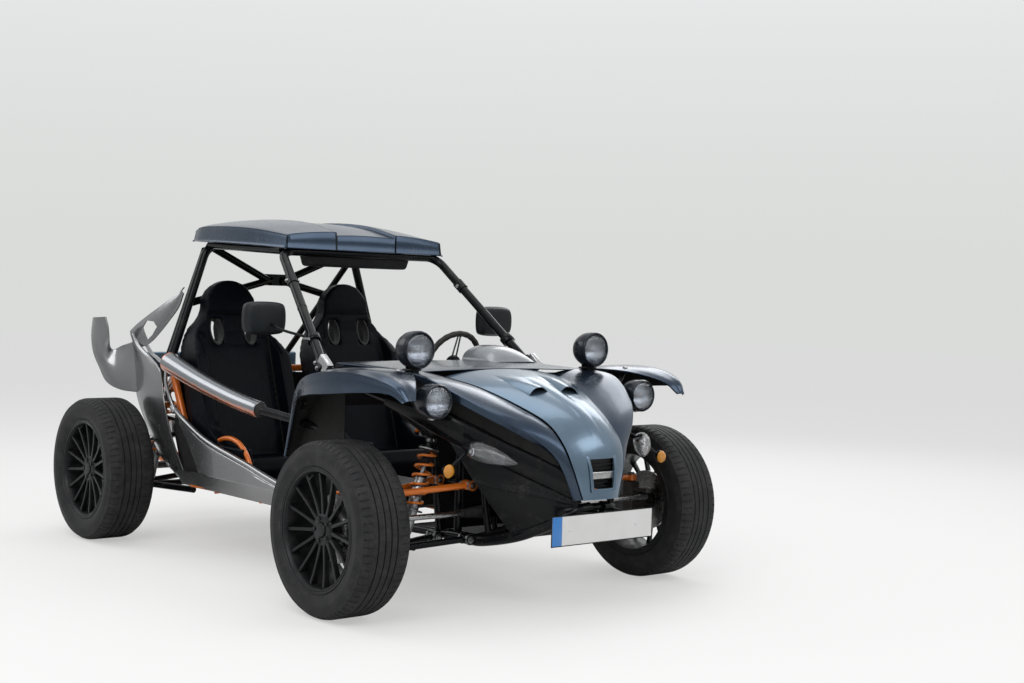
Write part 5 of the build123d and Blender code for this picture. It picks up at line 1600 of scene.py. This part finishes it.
INDICATOR_CUP = ((0.016, 0.0), (0.016, 0.016), (0.010, 0.024), (0.000, 0.0265), (-0.006, 0.0255))
INDICATOR_LENS = ((0.001, 0.0255), (-0.006, 0.0250), (-0.012, 0.0205), (-0.017, 0.011), (-0.018, 0.0))

amber = Finish("amber_lens", Base_Color=(0.95, 0.38, 0.03, 1), Transmission_Weight=0.55, IOR=1.45)
ribs = amber.make("TexWave", {"bands_direction": "Z"},
                  {"Vector": amber.place(), "Scale": 90.0, "Distortion": 0.0})
amber.feed(Roughness=ribs * 0.06 + 0.08, Normal=amber.bump(ribs, 0.0006))
day_reflector = Finish("day_reflector", Metallic=0.5)
cells = day_reflector.facets(70.0)
day_reflector.feed(Base_Color=day_reflector.mix(cells, (0.95, 0.96, 0.97, 1), (0.55, 0.56, 0.58, 1)),
                   Roughness=cells * 0.2 + 0.35, Normal=day_reflector.bump(cells, 0.0010))

for side, sign in SIDES:
    start, end = mirrored(DROP_ENDS, sign)
    run = end - start
    out = run.cross(Vector((0, 0, 1))).normalized()
    glass = bmesh.new()
    add_turned(glass, DROP, start, run, out, steps=40)
    bmesh.ops.recalc_face_normals(glass, faces=glass.faces)
    walled(piece(f"nose_lamp_glass_{side}", glass, "chassis", "lamp_clear", lamp_glass), 0.0015)
    inside = bmesh.new()
    add_turned(inside, [(x * 0.94 + 0.004, radius * 0.80) for x, radius in DROP], start, run, out, steps=32)
    bmesh.ops.bisect_plane(inside, geom=inside.verts[:] + inside.edges[:] + inside.faces[:],
                           plane_co=start + Vector((0, 0.004, -0.002)), plane_no=(0, -1, 0.35),
                           clear_outer=True, dist=1e-5)
    for share in DAY_BULBS:
        bulb_at = start + run * share + Vector((0, 0.010, -0.004))
        add_turned(inside, DAY_BULB, bulb_at, (0, -0.9, 0.45), out, steps=20, material=1)
    piece(f"nose_lamp_reflector_{side}", inside, "chassis", "lamp_clear", day_reflector, lamp_glass)
    holder = bmesh.new()
    add_turned(holder, DAY_CAP, start, run, out, steps=32)
    tube(holder, mirrored(DAY_STEM, sign), 0.009)
    tube(holder, mirrored(INDICATOR_STEM, sign), 0.006)
    indicator_at, = mirrored([INDICATOR_AT], sign)
    add_turned(holder, INDICATOR_CUP, indicator_at, steps=28)
    piece(f"nose_lamp_holder_{side}", holder, "chassis", "frame_paint", gloss_black, replaces="running_lamps")
    lens = bmesh.new()
    add_turned(lens, INDICATOR_LENS, indicator_at, steps=28)
    piece(f"indicator_{side}", lens, "chassis", "lamp_clear", amber)

# Coil-over struts: an orange lacquered spring wound round a silver damper, with machined seats, a bright rod
# and a rubber bush in the eye at each end. One stands on each front lower arm and one on each rear link.

STRUTS = (
    # name, bottom eye, top eye, coil radius, wire diameter, turns
    ("front", (0.505, -1.003, 0.262), (0.392, -1.010, 0.640), 0.038, 0.011, 6),
    ("rear", (0.560, 0.985, 0.262), (0.470, 1.000, 0.690), 0.042, 0.012, 7),
)
DAMPER_FOOT = ((0.014, 0.0), (0.016, 0.016), (0.030, 0.021))
DAMPER = (
    # share of the strut's length, radius
    (0.28, 0.022), (0.285, 0.0235), (0.45, 0.0235), (0.455, 0.022), (0.62, 0.022), (0.63, 0.018),
    (0.635, 0.0085), (0.88, 0.0085), (0.885, 0.0),
)
BUMP_STOP = (
    # share of the strut's length, radius
    (0.88, 0.010), (0.80, 0.017), (0.79, 0.019), (0.77, 0.016), (0.76, 0.0085),
)
SPRING_ENDS = (0.315, 0.885)
STRUT_EYE = ((-0.014, 0.0075), (-0.014, 0.0155), (-0.012, 0.0168))
EYE_BUSH = ((-0.017, 0.0), (-0.017, 0.0115), (-0.012, 0.0125))
EYE_BOLT = ((-0.025, 0.0), (-0.025, 0.0075), (-0.018, 0.0085))
COIL_STEPS, WIRE_STEPS = 20, 10

spring_orange = paint("spring_orange", (0.66, 0.19, 0.025, 1), (0.56, 0.13, 0.015, 1), 0.1, 0.3)
machined = Finish("machined_alloy", Metallic=1.0)
turned_marks = machined.noise(0.0015, detail=2, stretch=(1, 1, 8))
machined.feed(
    Base_Color=machined.mix(machined.noise(0.03, detail=4), (0.30, 0.31, 0.32, 1), (0.20, 0.195, 0.19, 1)),
    Roughness=turned_marks * 0.2 + 0.22,
)


def coil(mesh, foot, axis, radius, wire, turns, first, last, material):
    """A wound spring: a ring of wire swept round the axis and along it, with closed ends."""
    extra = bmesh.new()
    out = axis.orthogonal().normalized()
    place = Matrix((out, axis, -axis.cross(out))).transposed().to_4x4()
    place.translation = foot + axis * first + out * radius
    made = bmesh.ops.create_circle(extra, segments=WIRE_STEPS, radius=wire / 2, matrix=place)
    ring = made["verts"] + list({edge for vert in made["verts"] for edge in vert.link_edges})
    count = turns * COIL_STEPS
    bmesh.ops.spin(extra, geom=ring, cent=foot, axis=axis, dvec=axis * ((last - first) / count),
                   angle=2 * pi * turns, steps=count)
    close_ends(extra)
    join(mesh, extra, material)


def coil_over(foot, head, coil_r, wire, turns):
    """A damper, its spring and the eye at each end, from the bottom eye to the top one."""
    strut = bmesh.new()
    long, axis = (head - foot).length, (head - foot).normalized()
    out = axis.orthogonal().normalized()
    seat_r = coil_r + 0.003
    low_seat = ((0.285, 0.0236), (0.285, seat_r - 0.006), (0.29, seat_r), (0.30, seat_r),
                (0.305, seat_r - 0.003), (0.305, 0.0236))
    top_seat = ((0.895, 0.0), (0.895, seat_r - 0.003), (0.900, seat_r), (0.912, seat_r),
                (0.920, seat_r - 0.008), (0.955, 0.015), (0.965, 0.0))
    body = [*DAMPER_FOOT, *((long * share, radius) for share, radius in DAMPER)]
    add_turned(strut, body, foot, axis, out, steps=36)
    for shares, steps, material in ((BUMP_STOP, 28, 2), (low_seat, 40, 0), (top_seat, 40, 0)):
        profile = [(long * share, radius) for share, radius in shares]
        add_turned(strut, profile, foot, axis, out, steps=steps, material=material)
    first, last = SPRING_ENDS
    coil(strut, foot, axis, coil_r - wire / 2, wire, turns, long * first, long * last, 1)
    for eye in (foot, head):
        for half, steps, material in ((STRUT_EYE, 28, 0), (EYE_BUSH, 24, 2), (EYE_BOLT, 6, 3)):
            add_turned(strut, both_sides(half), eye, steps=steps, material=material)
    return strut


for end, bottom, top, *spring in STRUTS:
    for side, sign in SIDES:
        strut = coil_over(*mirrored((bottom, top), sign), *spring)
        piece(f"coil_over_{end}_{side}", strut, "chassis", "spring_orange", machined, spring_orange,
              collar_rubber, bright_steel, replaces=f"{end}_shocks")

# Front arms and knuckles: the upper arms and their pivots orange, the lower arms black, welded from tube,
# with greased ball joints in rubber boots at the cast iron knuckles, and a locknut on each pivot bolt.

KINGPIN_X, AXLE_Y = 0.712, -1.000
BALL_JOINTS = (
    # height, which way along Z its boot points
    (0.432, -1), (0.224, 1),
)
BALL_BOOT = ((0.0135, 0.0), (0.0135, 0.019), (0.0165, 0.0205), (0.020, 0.0175), (0.0225, 0.019),
             (0.026, 0.0155), (0.029, 0.016), (0.031, 0.0105), (0.031, 0.0))
BALL_CAP = ((-0.012, 0.0), (-0.012, 0.0175), (-0.015, 0.0175), (-0.0165, 0.016), (-0.0215, 0.0135),
            (-0.023, 0.0))
TIE_NUT = ((0.0085, 0.0), (0.0085, 0.0105), (0.013, 0.0105), (0.015, 0.008), (0.015, 0.0))
TIE_NUT_AT = (KINGPIN_X - 0.006, AXLE_Y - 0.105, 0.386)
PIVOTS = ((0.284, -1.110, 0.470), (0.284, -0.905, 0.470), (0.286, -1.110, 0.262), (0.286, -0.905, 0.244))
PIVOT_END = ((0.038, 0.0), (0.038, 0.0085), (0.031, 0.0095), (0.031, 0.014), (0.0295, 0.014), (0.0295, 0.021),
             (0.024, 0.0225), (0.018, 0.0215))
GAITER_AT, GAITER_PLEATS, PLEAT = (0.205, -1.105, 0.361), 9, 0.010

cast_iron = Finish("cast_iron", Metallic=0.7)
pits = cast_iron.noise(0.003, detail=4)
rusty = cast_iron.noise(0.03, detail=5)
cast_iron.feed(Base_Color=cast_iron.mix(rusty, (0.030, 0.029, 0.028, 1), (0.075, 0.066, 0.056, 1)),
               Roughness=pits * 0.25 + 0.45, Normal=cast_iron.bump(pits, 0.0006))
dress(gloss_orange, "front_upper_arms")
dress(gloss_black, "front_lower_arms", "rack_housing")
dress(cast_iron, "knuckle_left", "knuckle_right")
dress(bright_steel, "rack_bar")

for side, sign in SIDES:
    joints = bmesh.new()
    for height, way in BALL_JOINTS:
        ball = (sign * KINGPIN_X, AXLE_Y, height)
        add_turned(joints, BALL_BOOT, ball, (0, 0, way), (1, 0, 0), steps=32)
        add_turned(joints, BALL_CAP, ball, (0, 0, way), (1, 0, 0), steps=6, material=1)
    add_turned(joints, TIE_NUT, *mirrored([TIE_NUT_AT], sign), (0, 0, 1), (1, 0, 0), steps=6, material=1)
    piece(f"ball_joints_{side}", joints, f"knuckle_{side}", "cast", collar_rubber, bright_steel)
    pins = bmesh.new()
    for pivot in mirrored(PIVOTS, sign):
        for end in (-1, 1):
            add_turned(pins, [(end * x, radius) for x, radius in PIVOT_END], pivot, steps=24)
    piece(f"arm_pins_{side}", pins, "chassis", "steel", machined)
pleats = [(0.0, 0.0115), (0.002, 0.024)]
for number in range(GAITER_PLEATS):
    pleats += [(0.006 + number * PLEAT, 0.026 - number * 0.0011),
               (0.011 + number * PLEAT, 0.0195 - number * 0.0007)]
pleats += [(0.098, 0.0165), (0.104, 0.0150), (0.106, 0.0115)]
gaiters = bmesh.new()
for side, sign in SIDES:
    add_turned(gaiters, pleats, *mirrored([GAITER_AT], sign), (sign, 0, 0), steps=36)
piece("rack_gaiters", gaiters, "chassis", "frame_paint", collar_rubber)

# Frame: welded steel tube, black lacquer in front and orange from the cockpit back, with the alloy floor pan
# riveted between its rails.

dress(gloss_black, "frame_nose", "frame_front", "rear_arms")
dress(gloss_orange, "frame_rear", "frame_floor")
floor_alloy = Finish("floor_alloy", Metallic=0.5)
trodden = floor_alloy.noise(0.10, detail=6)
floor_alloy.feed(
    Base_Color=floor_alloy.mix(trodden, (0.012, 0.012, 0.013, 1), (0.035, 0.032, 0.028, 1)),
    Roughness=floor_alloy.noise(0.02) * 0.2 + 0.5,
    Normal=floor_alloy.bump(floor_alloy.specks(0.018), 0.0012),
)
dress(floor_alloy, "floor_pan")

# Mirrors: matte black moulded housings with a soft bulge, a thin bead round the glass that faces back, and a
# black arm to a clamp on the screen pillar.

MIRROR_X, MIRROR_Z = 0.624, 1.080
HOUSING_Y, HOUSING_HALF = -0.150, (0.100, 0.028, 0.070)
GLASS = (
    # size, y, edge, finish
    ((0.166, 0.004, 0.108), -0.1235, 0.0018, 0),
    ((0.174, 0.008, 0.116), -0.1275, 0.003, 1),
)
ARM_BEND, ARM_END = (0.600, -0.230, 1.035), ((0.604, -0.212, 1.044), (0.612, -0.170, 1.060))
CLAMP_SHARE, ARM_STEPS = 0.25, 12
CLAMP = ((-0.017, 0.0205), (-0.017, 0.0275), (-0.015, 0.029))
CLAMP_BOLT, CLAMP_BOLT_OUT = ((-0.020, 0.0), (-0.020, 0.006)), (0.030, 0.004, 0.0)

moulded = Finish("moulded_black", Specular_IOR_Level=0.15)
stipple = moulded.specks(0.0009)
faded = moulded.noise(0.06, detail=5)
moulded.feed(Base_Color=moulded.mix(faded, (0.006, 0.008, 0.010, 1), (0.016, 0.018, 0.020, 1)),
             Roughness=stipple * 0.15 + 0.36, Normal=moulded.bump(stipple, 0.0002))
mirror_glass = Finish("mirror_glass", Metallic=1.0, Base_Color=(0.88, 0.90, 0.92, 1))
mirror_glass.feed(Roughness=mirror_glass.noise(0.05) * 0.04 + 0.01)


def mirror_shell(centre):
    """A box with bulging sides, narrower and rounder towards the front, round a centre."""
    shell = bmesh.new()
    bmesh.ops.create_cube(shell, size=1.0)
    bmesh.ops.subdivide_edges(shell, edges=shell.edges, cuts=5, use_grid_fill=True)
    wide, deep, high = HOUSING_HALF
    for vert in shell.verts:
        x, y, z = vert.co * 2
        squeeze = 1.0 if y > 0 else 1.0 + 0.16 * y
        dome = 1.0 if y >= 0 else 1 - 0.25 * (x * x + z * z) / 2
        vert.co = Vector((x * (1 - 0.10 * abs(z) ** 3) * squeeze * wide, y * dome * deep,
                          z * (1 - 0.12 * abs(x) ** 3) * squeeze * high))
    bmesh.ops.translate(shell, verts=shell.verts, vec=centre)
    return shell


for side, sign in SIDES:
    shell = mirror_shell((sign * MIRROR_X, HOUSING_Y, MIRROR_Z))
    housing = piece(f"mirror_housing_{side}", shell, "chassis", "matte_black", moulded, smooth=180,
                    replaces="mirrors")
    soft = housing.modifiers.new("soft", "SUBSURF")
    soft.levels = soft.render_levels = 2
    glass = bmesh.new()
    for size, y, edge, finish in GLASS:
        add_block(glass, size, (sign * MIRROR_X, y, MIRROR_Z), edge, material=finish)
    piece(f"mirror_glass_{side}", glass, "chassis", "matte_black", mirror_glass, moulded)
    arm = bmesh.new()
    foot, head = mirrored(PILLAR, sign)
    pillar = head - foot
    clamp_at = foot + pillar * CLAMP_SHARE
    bend, bolt_out = mirrored((ARM_BEND, CLAMP_BOLT_OUT), sign)
    route = [clamp_at, clamp_at.lerp(bend, 0.8)] + mirrored(ARM_END, sign)
    tube(arm, curve(route, ARM_STEPS), 0.006, steps=16)
    add_turned(arm, both_sides(CLAMP), clamp_at, pillar, pillar.cross(Vector((0, 0, 1))), steps=36)
    add_turned(arm, both_sides(CLAMP_BOLT), clamp_at + bolt_out, steps=6, material=1)
    piece(f"mirror_arm_{side}", arm, "chassis", "matte_black", gloss_black, bright_steel)

# Steering wheel: a leather covered ring with finger swells, three slotted alloy spokes and a plain cap, on a
# steel column that runs through the dashboard.

WHEEL_CENTRE = Vector((0.300, -0.240, 0.895))
COLUMN_TILT = radians(20)
WHEEL_R, GRIP_R, GRIP_FORWARD = 0.142, 0.0132, 0.008
GRIP_STEPS, SWELLS, SWELL_RISE = 16, 24, 0.05
SPOKE_TURNS = (pi / 2, pi / 2 + 2 * pi / 3, pi / 2 - 2 * pi / 3)
STRIP_OFFSET, STRIP_WIDTH = 0.0085, 0.006
STRIP = (
    # reach from the centre, share of the offset, which edge
    (0.026, 1.4, 1), (0.134, 0.8, 1), (0.134, 0.8, -1), (0.026, 1.4, -1),
)
HUB_AND_COLUMN = ((-0.004, 0.0), (-0.006, 0.020), (-0.003, 0.033), (0.004, 0.037), (0.018, 0.036),
                  (0.026, 0.024), (0.030, 0.015), (0.300, 0.0140), (0.300, 0.0))

leather = Finish("wheel_leather", Specular_IOR_Level=0.2)
pores = leather.specks(0.0016)
handled = leather.noise(0.03, detail=4)
leather.feed(Base_Color=leather.mix(handled, (0.010, 0.010, 0.010, 1), (0.030, 0.028, 0.026, 1)),
             Roughness=pores * 0.15 + 0.42, Normal=leather.bump(pores, 0.0003))

axis, out = Vector((0, -cos(COLUMN_TILT), -sin(COLUMN_TILT))), Vector((1, 0, 0))
way = axis.cross(out)
wheel = bmesh.new()
turns = [2 * pi * step / GRIP_STEPS for step in range(GRIP_STEPS)]
grip = [(GRIP_FORWARD + GRIP_R * cos(turn), WHEEL_R + GRIP_R * sin(turn)) for turn in turns]
add_turned(wheel, grip, WHEEL_CENTRE, axis, out, steps=96, closed=True)
for vert in wheel.verts:
    spread = vert.co - WHEEL_CENTRE
    turn = atan2(spread.dot(way), spread.dot(out))
    core = WHEEL_CENTRE + axis * GRIP_FORWARD + (out * cos(turn) + way * sin(turn)) * WHEEL_R
    vert.co = core + (vert.co - core) * (1 + SWELL_RISE * cos(SWELLS * turn))
for turn in SPOKE_TURNS:
    reach_way = out * cos(turn) + way * sin(turn)
    side_way = axis.cross(reach_way)
    for offset in (-STRIP_OFFSET, STRIP_OFFSET):
        strip = bmesh.new()
        corners = [WHEEL_CENTRE + axis * 0.010 + reach_way * reach
                   + side_way * (offset * share - STRIP_WIDTH / 2 * edge) for reach, share, edge in STRIP]
        plate_from(strip, corners, axis * -0.005)
        join(wheel, strip, 1)
add_turned(wheel, HUB_AND_COLUMN, WHEEL_CENTRE, axis, out, steps=40, material=2)
piece("steering_wheel_rim", wheel, "steering", "matte_black", leather, machined, gloss_black,
      replaces="steering_wheel")

# Number plates: pressed alloy, reflective pale grey, left bare, with a raised bead round the edge and a plain
# blue band at one end, each screwed to a thin black holder. The front one hangs on two brackets from the nose
# tube, and the rear one sits between the tail lamps.

PLATE_MARGIN = 0.004
PLATE_BEAD = (
    # inset, lift
    (0.003, 0.0), (0.0015, 0.0008), (0.002, 0.0), (0.0015, -0.0008),
)
PLATE_SCREW = ((0.0, 0.006), (0.0015, 0.006), (0.0028, 0.004), (0.0030, 0.0))
SCREW_SHARE = 0.17 / 0.52
PLATE_BRACKETS = (
    # size, centre, edge
    ((0.024, 0.052, 0.016), (0.090, -1.5415, 0.400), 0.003),
    ((0.024, 0.004, 0.050), (0.090, -1.5665, 0.384), 0.0015),
)

plate_white = Finish("plate_white", Specular_IOR_Level=0.5, Coat_Weight=0.3, Coat_Roughness=0.2)
beads = plate_white.specks(0.0008)
dulled = plate_white.noise(0.08, detail=5)
plate_white.feed(Base_Color=plate_white.mix(dulled, (0.58, 0.58, 0.58, 1), (0.50, 0.495, 0.48, 1)),
                 Roughness=beads * 0.2 + 0.30, Normal=plate_white.bump(beads, 0.00008))
plate_blue = Finish("plate_blue", Coat_Weight=0.3, Coat_Roughness=0.2)
clouded = plate_blue.noise(0.03)
plate_blue.feed(Base_Color=plate_blue.mix(clouded, (0.008, 0.130, 0.40, 1), (0.016, 0.150, 0.42, 1)),
                Roughness=plate_blue.noise(0.01) * 0.1 + 0.34)


def number_plate(width, height, centre, forward):
    """A bare plate and its holder, its face looking forward along Y by the sign."""
    x, y, z = centre
    mesh = bmesh.new()
    add_block(mesh, (width, 0.0016, height), (x, y - forward * 0.0006, z), 0.0007, material=1)
    inner = (width - 2 * PLATE_MARGIN, 0.0012, height - 2 * PLATE_MARGIN)
    add_block(mesh, inner, (x, y + forward * 0.0006, z), 0.0005)
    pressed = bmesh.new()
    wide, high = width / 2 - PLATE_MARGIN, height / 2 - PLATE_MARGIN
    corners = [(x + across * wide, y + forward * 0.0013, z + up * high)
               for across, up in ((-1, -1), (1, -1), (1, 1), (-1, 1))]
    face = pressed.faces.new([pressed.verts.new(corner) for corner in corners])
    face_up(pressed, (0, forward, 0))
    for inset, lift in PLATE_BEAD:
        bmesh.ops.inset_region(pressed, faces=[face], thickness=inset, depth=lift)
    join(mesh, pressed)
    band = (0.047, 0.0022, height - 2 * PLATE_MARGIN)
    add_block(mesh, band, (x - (width / 2 - 0.0275), y + forward * 0.0013, z), 0.0008, material=2)
    for end in (-1, 1):
        screw_at = (x + end * SCREW_SHARE * width, y + forward * 0.0008, z)
        add_turned(mesh, PLATE_SCREW, screw_at, (0, forward, 0), steps=16)
    return mesh


front_plate = number_plate(0.520, 0.114, (0, -1.5695, 0.348), -1)
for side, sign in SIDES:
    for size, place, edge in PLATE_BRACKETS:
        add_block(front_plate, size, *mirrored([place], sign), edge, material=1)
piece("front_plate", front_plate, "chassis", "plate", plate_white, dash_black, plate_blue,
      replaces="number_plate")

# Tail panel: a silver cross panel on black stalks, with two round lamps each side, red outboard and amber
# inboard, in black rubber rings, and the bare rear plate between them.

TAIL_PANEL, TAIL_PANEL_AT = (1.040, 0.024, 0.130), (0, 1.430, 0.800)
TAIL_SCREWS_X = (0.4876, 0.2332)
TAIL_SCREW = ((0.0, 0.0085), (0.003, 0.0085), (0.005, 0.006), (0.006, 0.0))
TAIL_STALK = ((0.280, 1.426, 0.742), (0.280, 1.423, 0.680), (0.280, 1.420, 0.604))
STOP_X, TURN_X, TAIL_LAMP_Y, TAIL_LAMP_Z = 0.440, 0.330, 1.448, 0.800
LAMP_RING = ((-0.006, 0.030), (-0.006, 0.043), (0.004, 0.0445), (0.012, 0.0425), (0.013, 0.038))
TAIL_LENS = ((0.004, 0.0385), (0.010, 0.0375), (0.014, 0.033), (0.0165, 0.020), (0.017, 0.0))

red_lens = Finish("red_lens", Base_Color=(0.70, 0.015, 0.012, 1), Transmission_Weight=0.45, IOR=1.45)
red_rings = red_lens.make("TexWave", {"wave_type": "RINGS", "rings_direction": "Y"},
                          {"Vector": red_lens.place(), "Scale": 60.0})
red_lens.feed(Roughness=red_rings * 0.06 + 0.08, Normal=red_lens.bump(red_rings, 0.0006))

tail = bmesh.new()
add_block(tail, TAIL_PANEL, TAIL_PANEL_AT, 0.010, segments=5)
for side, sign in SIDES:
    for x in TAIL_SCREWS_X:
        add_turned(tail, TAIL_SCREW, (sign * x, 1.4415, 0.848), steps=16, material=1)
    tube(tail, mirrored(TAIL_STALK, sign), 0.010, material=2)
    for x in (TURN_X, STOP_X):
        add_turned(tail, LAMP_RING, (sign * x, TAIL_LAMP_Y, TAIL_LAMP_Z), steps=40, material=3)
piece("tail_bar", tail, "chassis", "silver_paint", sky_tinted_silver, bright_steel, gloss_black, collar_rubber,
      replaces="tail_panel")
for side, sign in SIDES:
    for word, x, finish in (("stop", STOP_X, red_lens), ("turn", TURN_X, amber)):
        lens = bmesh.new()
        add_turned(lens, TAIL_LENS, (sign * x, TAIL_LAMP_Y, TAIL_LAMP_Z), steps=40)
        piece(f"tail_{word}_{side}", lens, "chassis", "lamp_clear", finish)
rear_plate = number_plate(0.300, 0.120, (0, 1.4535, 0.790), 1)
add_block(rear_plate, (0.290, 0.014, 0.110), (0, 1.446, 0.790), 0.004, material=1)
piece("rear_plate", rear_plate, "chassis", "plate", plate_white, dash_black, plate_blue)

# Exhaust: a stainless can across the tail with rolled end caps and two straps, fed by one pipe, with a
# turned-out tailpipe. Heat has tinted it in places.

CAN_AT = (0, 1.504, 0.470)
CAN = ((-0.210, 0.0), (-0.209, 0.030), (-0.206, 0.050), (-0.210, 0.056), (-0.208, 0.061), (-0.200, 0.061),
       (-0.197, 0.0595))
STRAPS_X, STRAP_HALF = (-0.115, 0.115), 0.013
DOWNPIPE = ((0, 1.300, 0.430), (0, 1.330, 0.4345), (0, 1.460, 0.4545))
TAILPIPE = ((0.190, 1.504, 0.470), (0.222, 1.505, 0.470), (0.239, 1.513, 0.470), (0.245, 1.535, 0.470),
            (0.245, 1.560, 0.470))
TIP = ((-0.014, 0.0225), (0.0, 0.0235), (0.010, 0.0245), (0.012, 0.0235), (0.010, 0.0215), (-0.020, 0.0205),
       (-0.030, 0.0))
CAN_HANGER = ((0.150, 1.482, 0.522), (0.150, 1.450, 0.555), (0.150, 1.425, 0.584))

stainless = Finish("stainless", Metallic=1.0)
brushed = stainless.noise(0.0012, detail=2, stretch=(0.06, 1, 1))
heat = stainless.noise(0.07, detail=4).fade(0.4, 0.75)
stainless.feed(Base_Color=stainless.mix(heat, (0.36, 0.36, 0.36, 1), (0.25, 0.19, 0.13, 1)),
               Roughness=brushed * 0.25 + 0.22)

pipe = bmesh.new()
add_turned(pipe, both_sides(CAN), CAN_AT, (1, 0, 0), steps=64)
for x in STRAPS_X:
    strap = ((x - STRAP_HALF, 0.0595), (x - STRAP_HALF, 0.0620), (x + STRAP_HALF, 0.0620),
             (x + STRAP_HALF, 0.0595))
    add_turned(pipe, strap, CAN_AT, (1, 0, 0), steps=64, material=1)
tube(pipe, DOWNPIPE, 0.023, steps=28)
tube(pipe, curve(TAILPIPE, 16), 0.022, steps=32)
add_turned(pipe, TIP, TAILPIPE[-1], steps=40)
for side, sign in SIDES:
    tube(pipe, mirrored(CAN_HANGER, sign), 0.008, material=1)
piece("silencer", pipe, "chassis", "steel", stainless, gloss_black, replaces="exhaust")

# Engine: the cast alloy block behind the seats, with a ribbed black cover on top, cooling ribs down its sides
# and pleated rubber boots on both ends of each drive shaft.

ENGINE_Y = 1.085
COVER_RIBS, COVER_RIB_GAP = 7, 0.042
SIDE_RIBS, REAR_RIBS, RIB_GAP = 9, 8, 0.030
FILLER_CAP, FILLER_AT = ((0.0, 0.026), (0.010, 0.028), (0.014, 0.026), (0.016, 0.0)), (0.100, 1.020, 0.712)
SHAFT_BOOTS = (
    # x of its big end, which way it points
    (0.228, 1), (0.604, -1),
)
BOOT_PLEATS, BOOT_PLEAT = 6, 0.011

engine_alloy = Finish("engine_alloy", Metallic=0.85)
sand = engine_alloy.noise(0.0022, detail=4)
grimy = engine_alloy.noise(0.10, detail=6).fade(0.35, 0.75)
engine_alloy.feed(Base_Color=engine_alloy.mix(grimy, (0.20, 0.20, 0.20, 1), (0.075, 0.068, 0.060, 1)),
                  Roughness=sand * 0.25 + 0.42, Normal=engine_alloy.bump(sand, 0.0006))
dress(engine_alloy, "engine_block")

engine = bmesh.new()
add_block(engine, (0.300, 0.170, 0.034), (0, ENGINE_Y, 0.694), 0.012, segments=4)
for number in range(COVER_RIBS):
    add_block(engine, (0.014, 0.176, 0.012), (-0.126 + number * COVER_RIB_GAP, ENGINE_Y, 0.713), 0.004)
add_turned(engine, FILLER_CAP, FILLER_AT, (0, 0, 1), (1, 0, 0), steps=24, material=1)
for side, sign in SIDES:
    for number in range(SIDE_RIBS):
        rib_at = (sign * 0.222, ENGINE_Y, 0.400 + number * RIB_GAP)
        add_block(engine, (0.010, 0.340, 0.008), rib_at, 0.003, material=2)
for number in range(REAR_RIBS):
    add_block(engine, (0.340, 0.010, 0.008), (0, 1.307, 0.410 + number * RIB_GAP), 0.003, material=2)
piece("engine_cover", engine, "chassis", "cast", moulded, bright_steel, engine_alloy)

boot = [(0.0, 0.0), (0.0, 0.044), (0.012, 0.046), (0.016, 0.043)]
for number in range(BOOT_PLEATS):
    boot += [(0.020 + number * BOOT_PLEAT, 0.041 - number * 0.0036),
             (0.0255 + number * BOOT_PLEAT, 0.034 - number * 0.0030)]
boot += [(0.090, 0.0195), (0.096, 0.0185), (0.097, 0.0165)]
shafts = bmesh.new()
for side, sign in SIDES:
    for x, way in SHAFT_BOOTS:
        add_turned(shafts, boot, (sign * x, 1.046, 0.333), (sign * way, 0, 0), steps=36)
piece("drive_boots", shafts, "chassis", "cast", collar_rubber)

sizes = {"cad": [list(corner) for corner in cad_box], "scene": [list(corner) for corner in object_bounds()]}
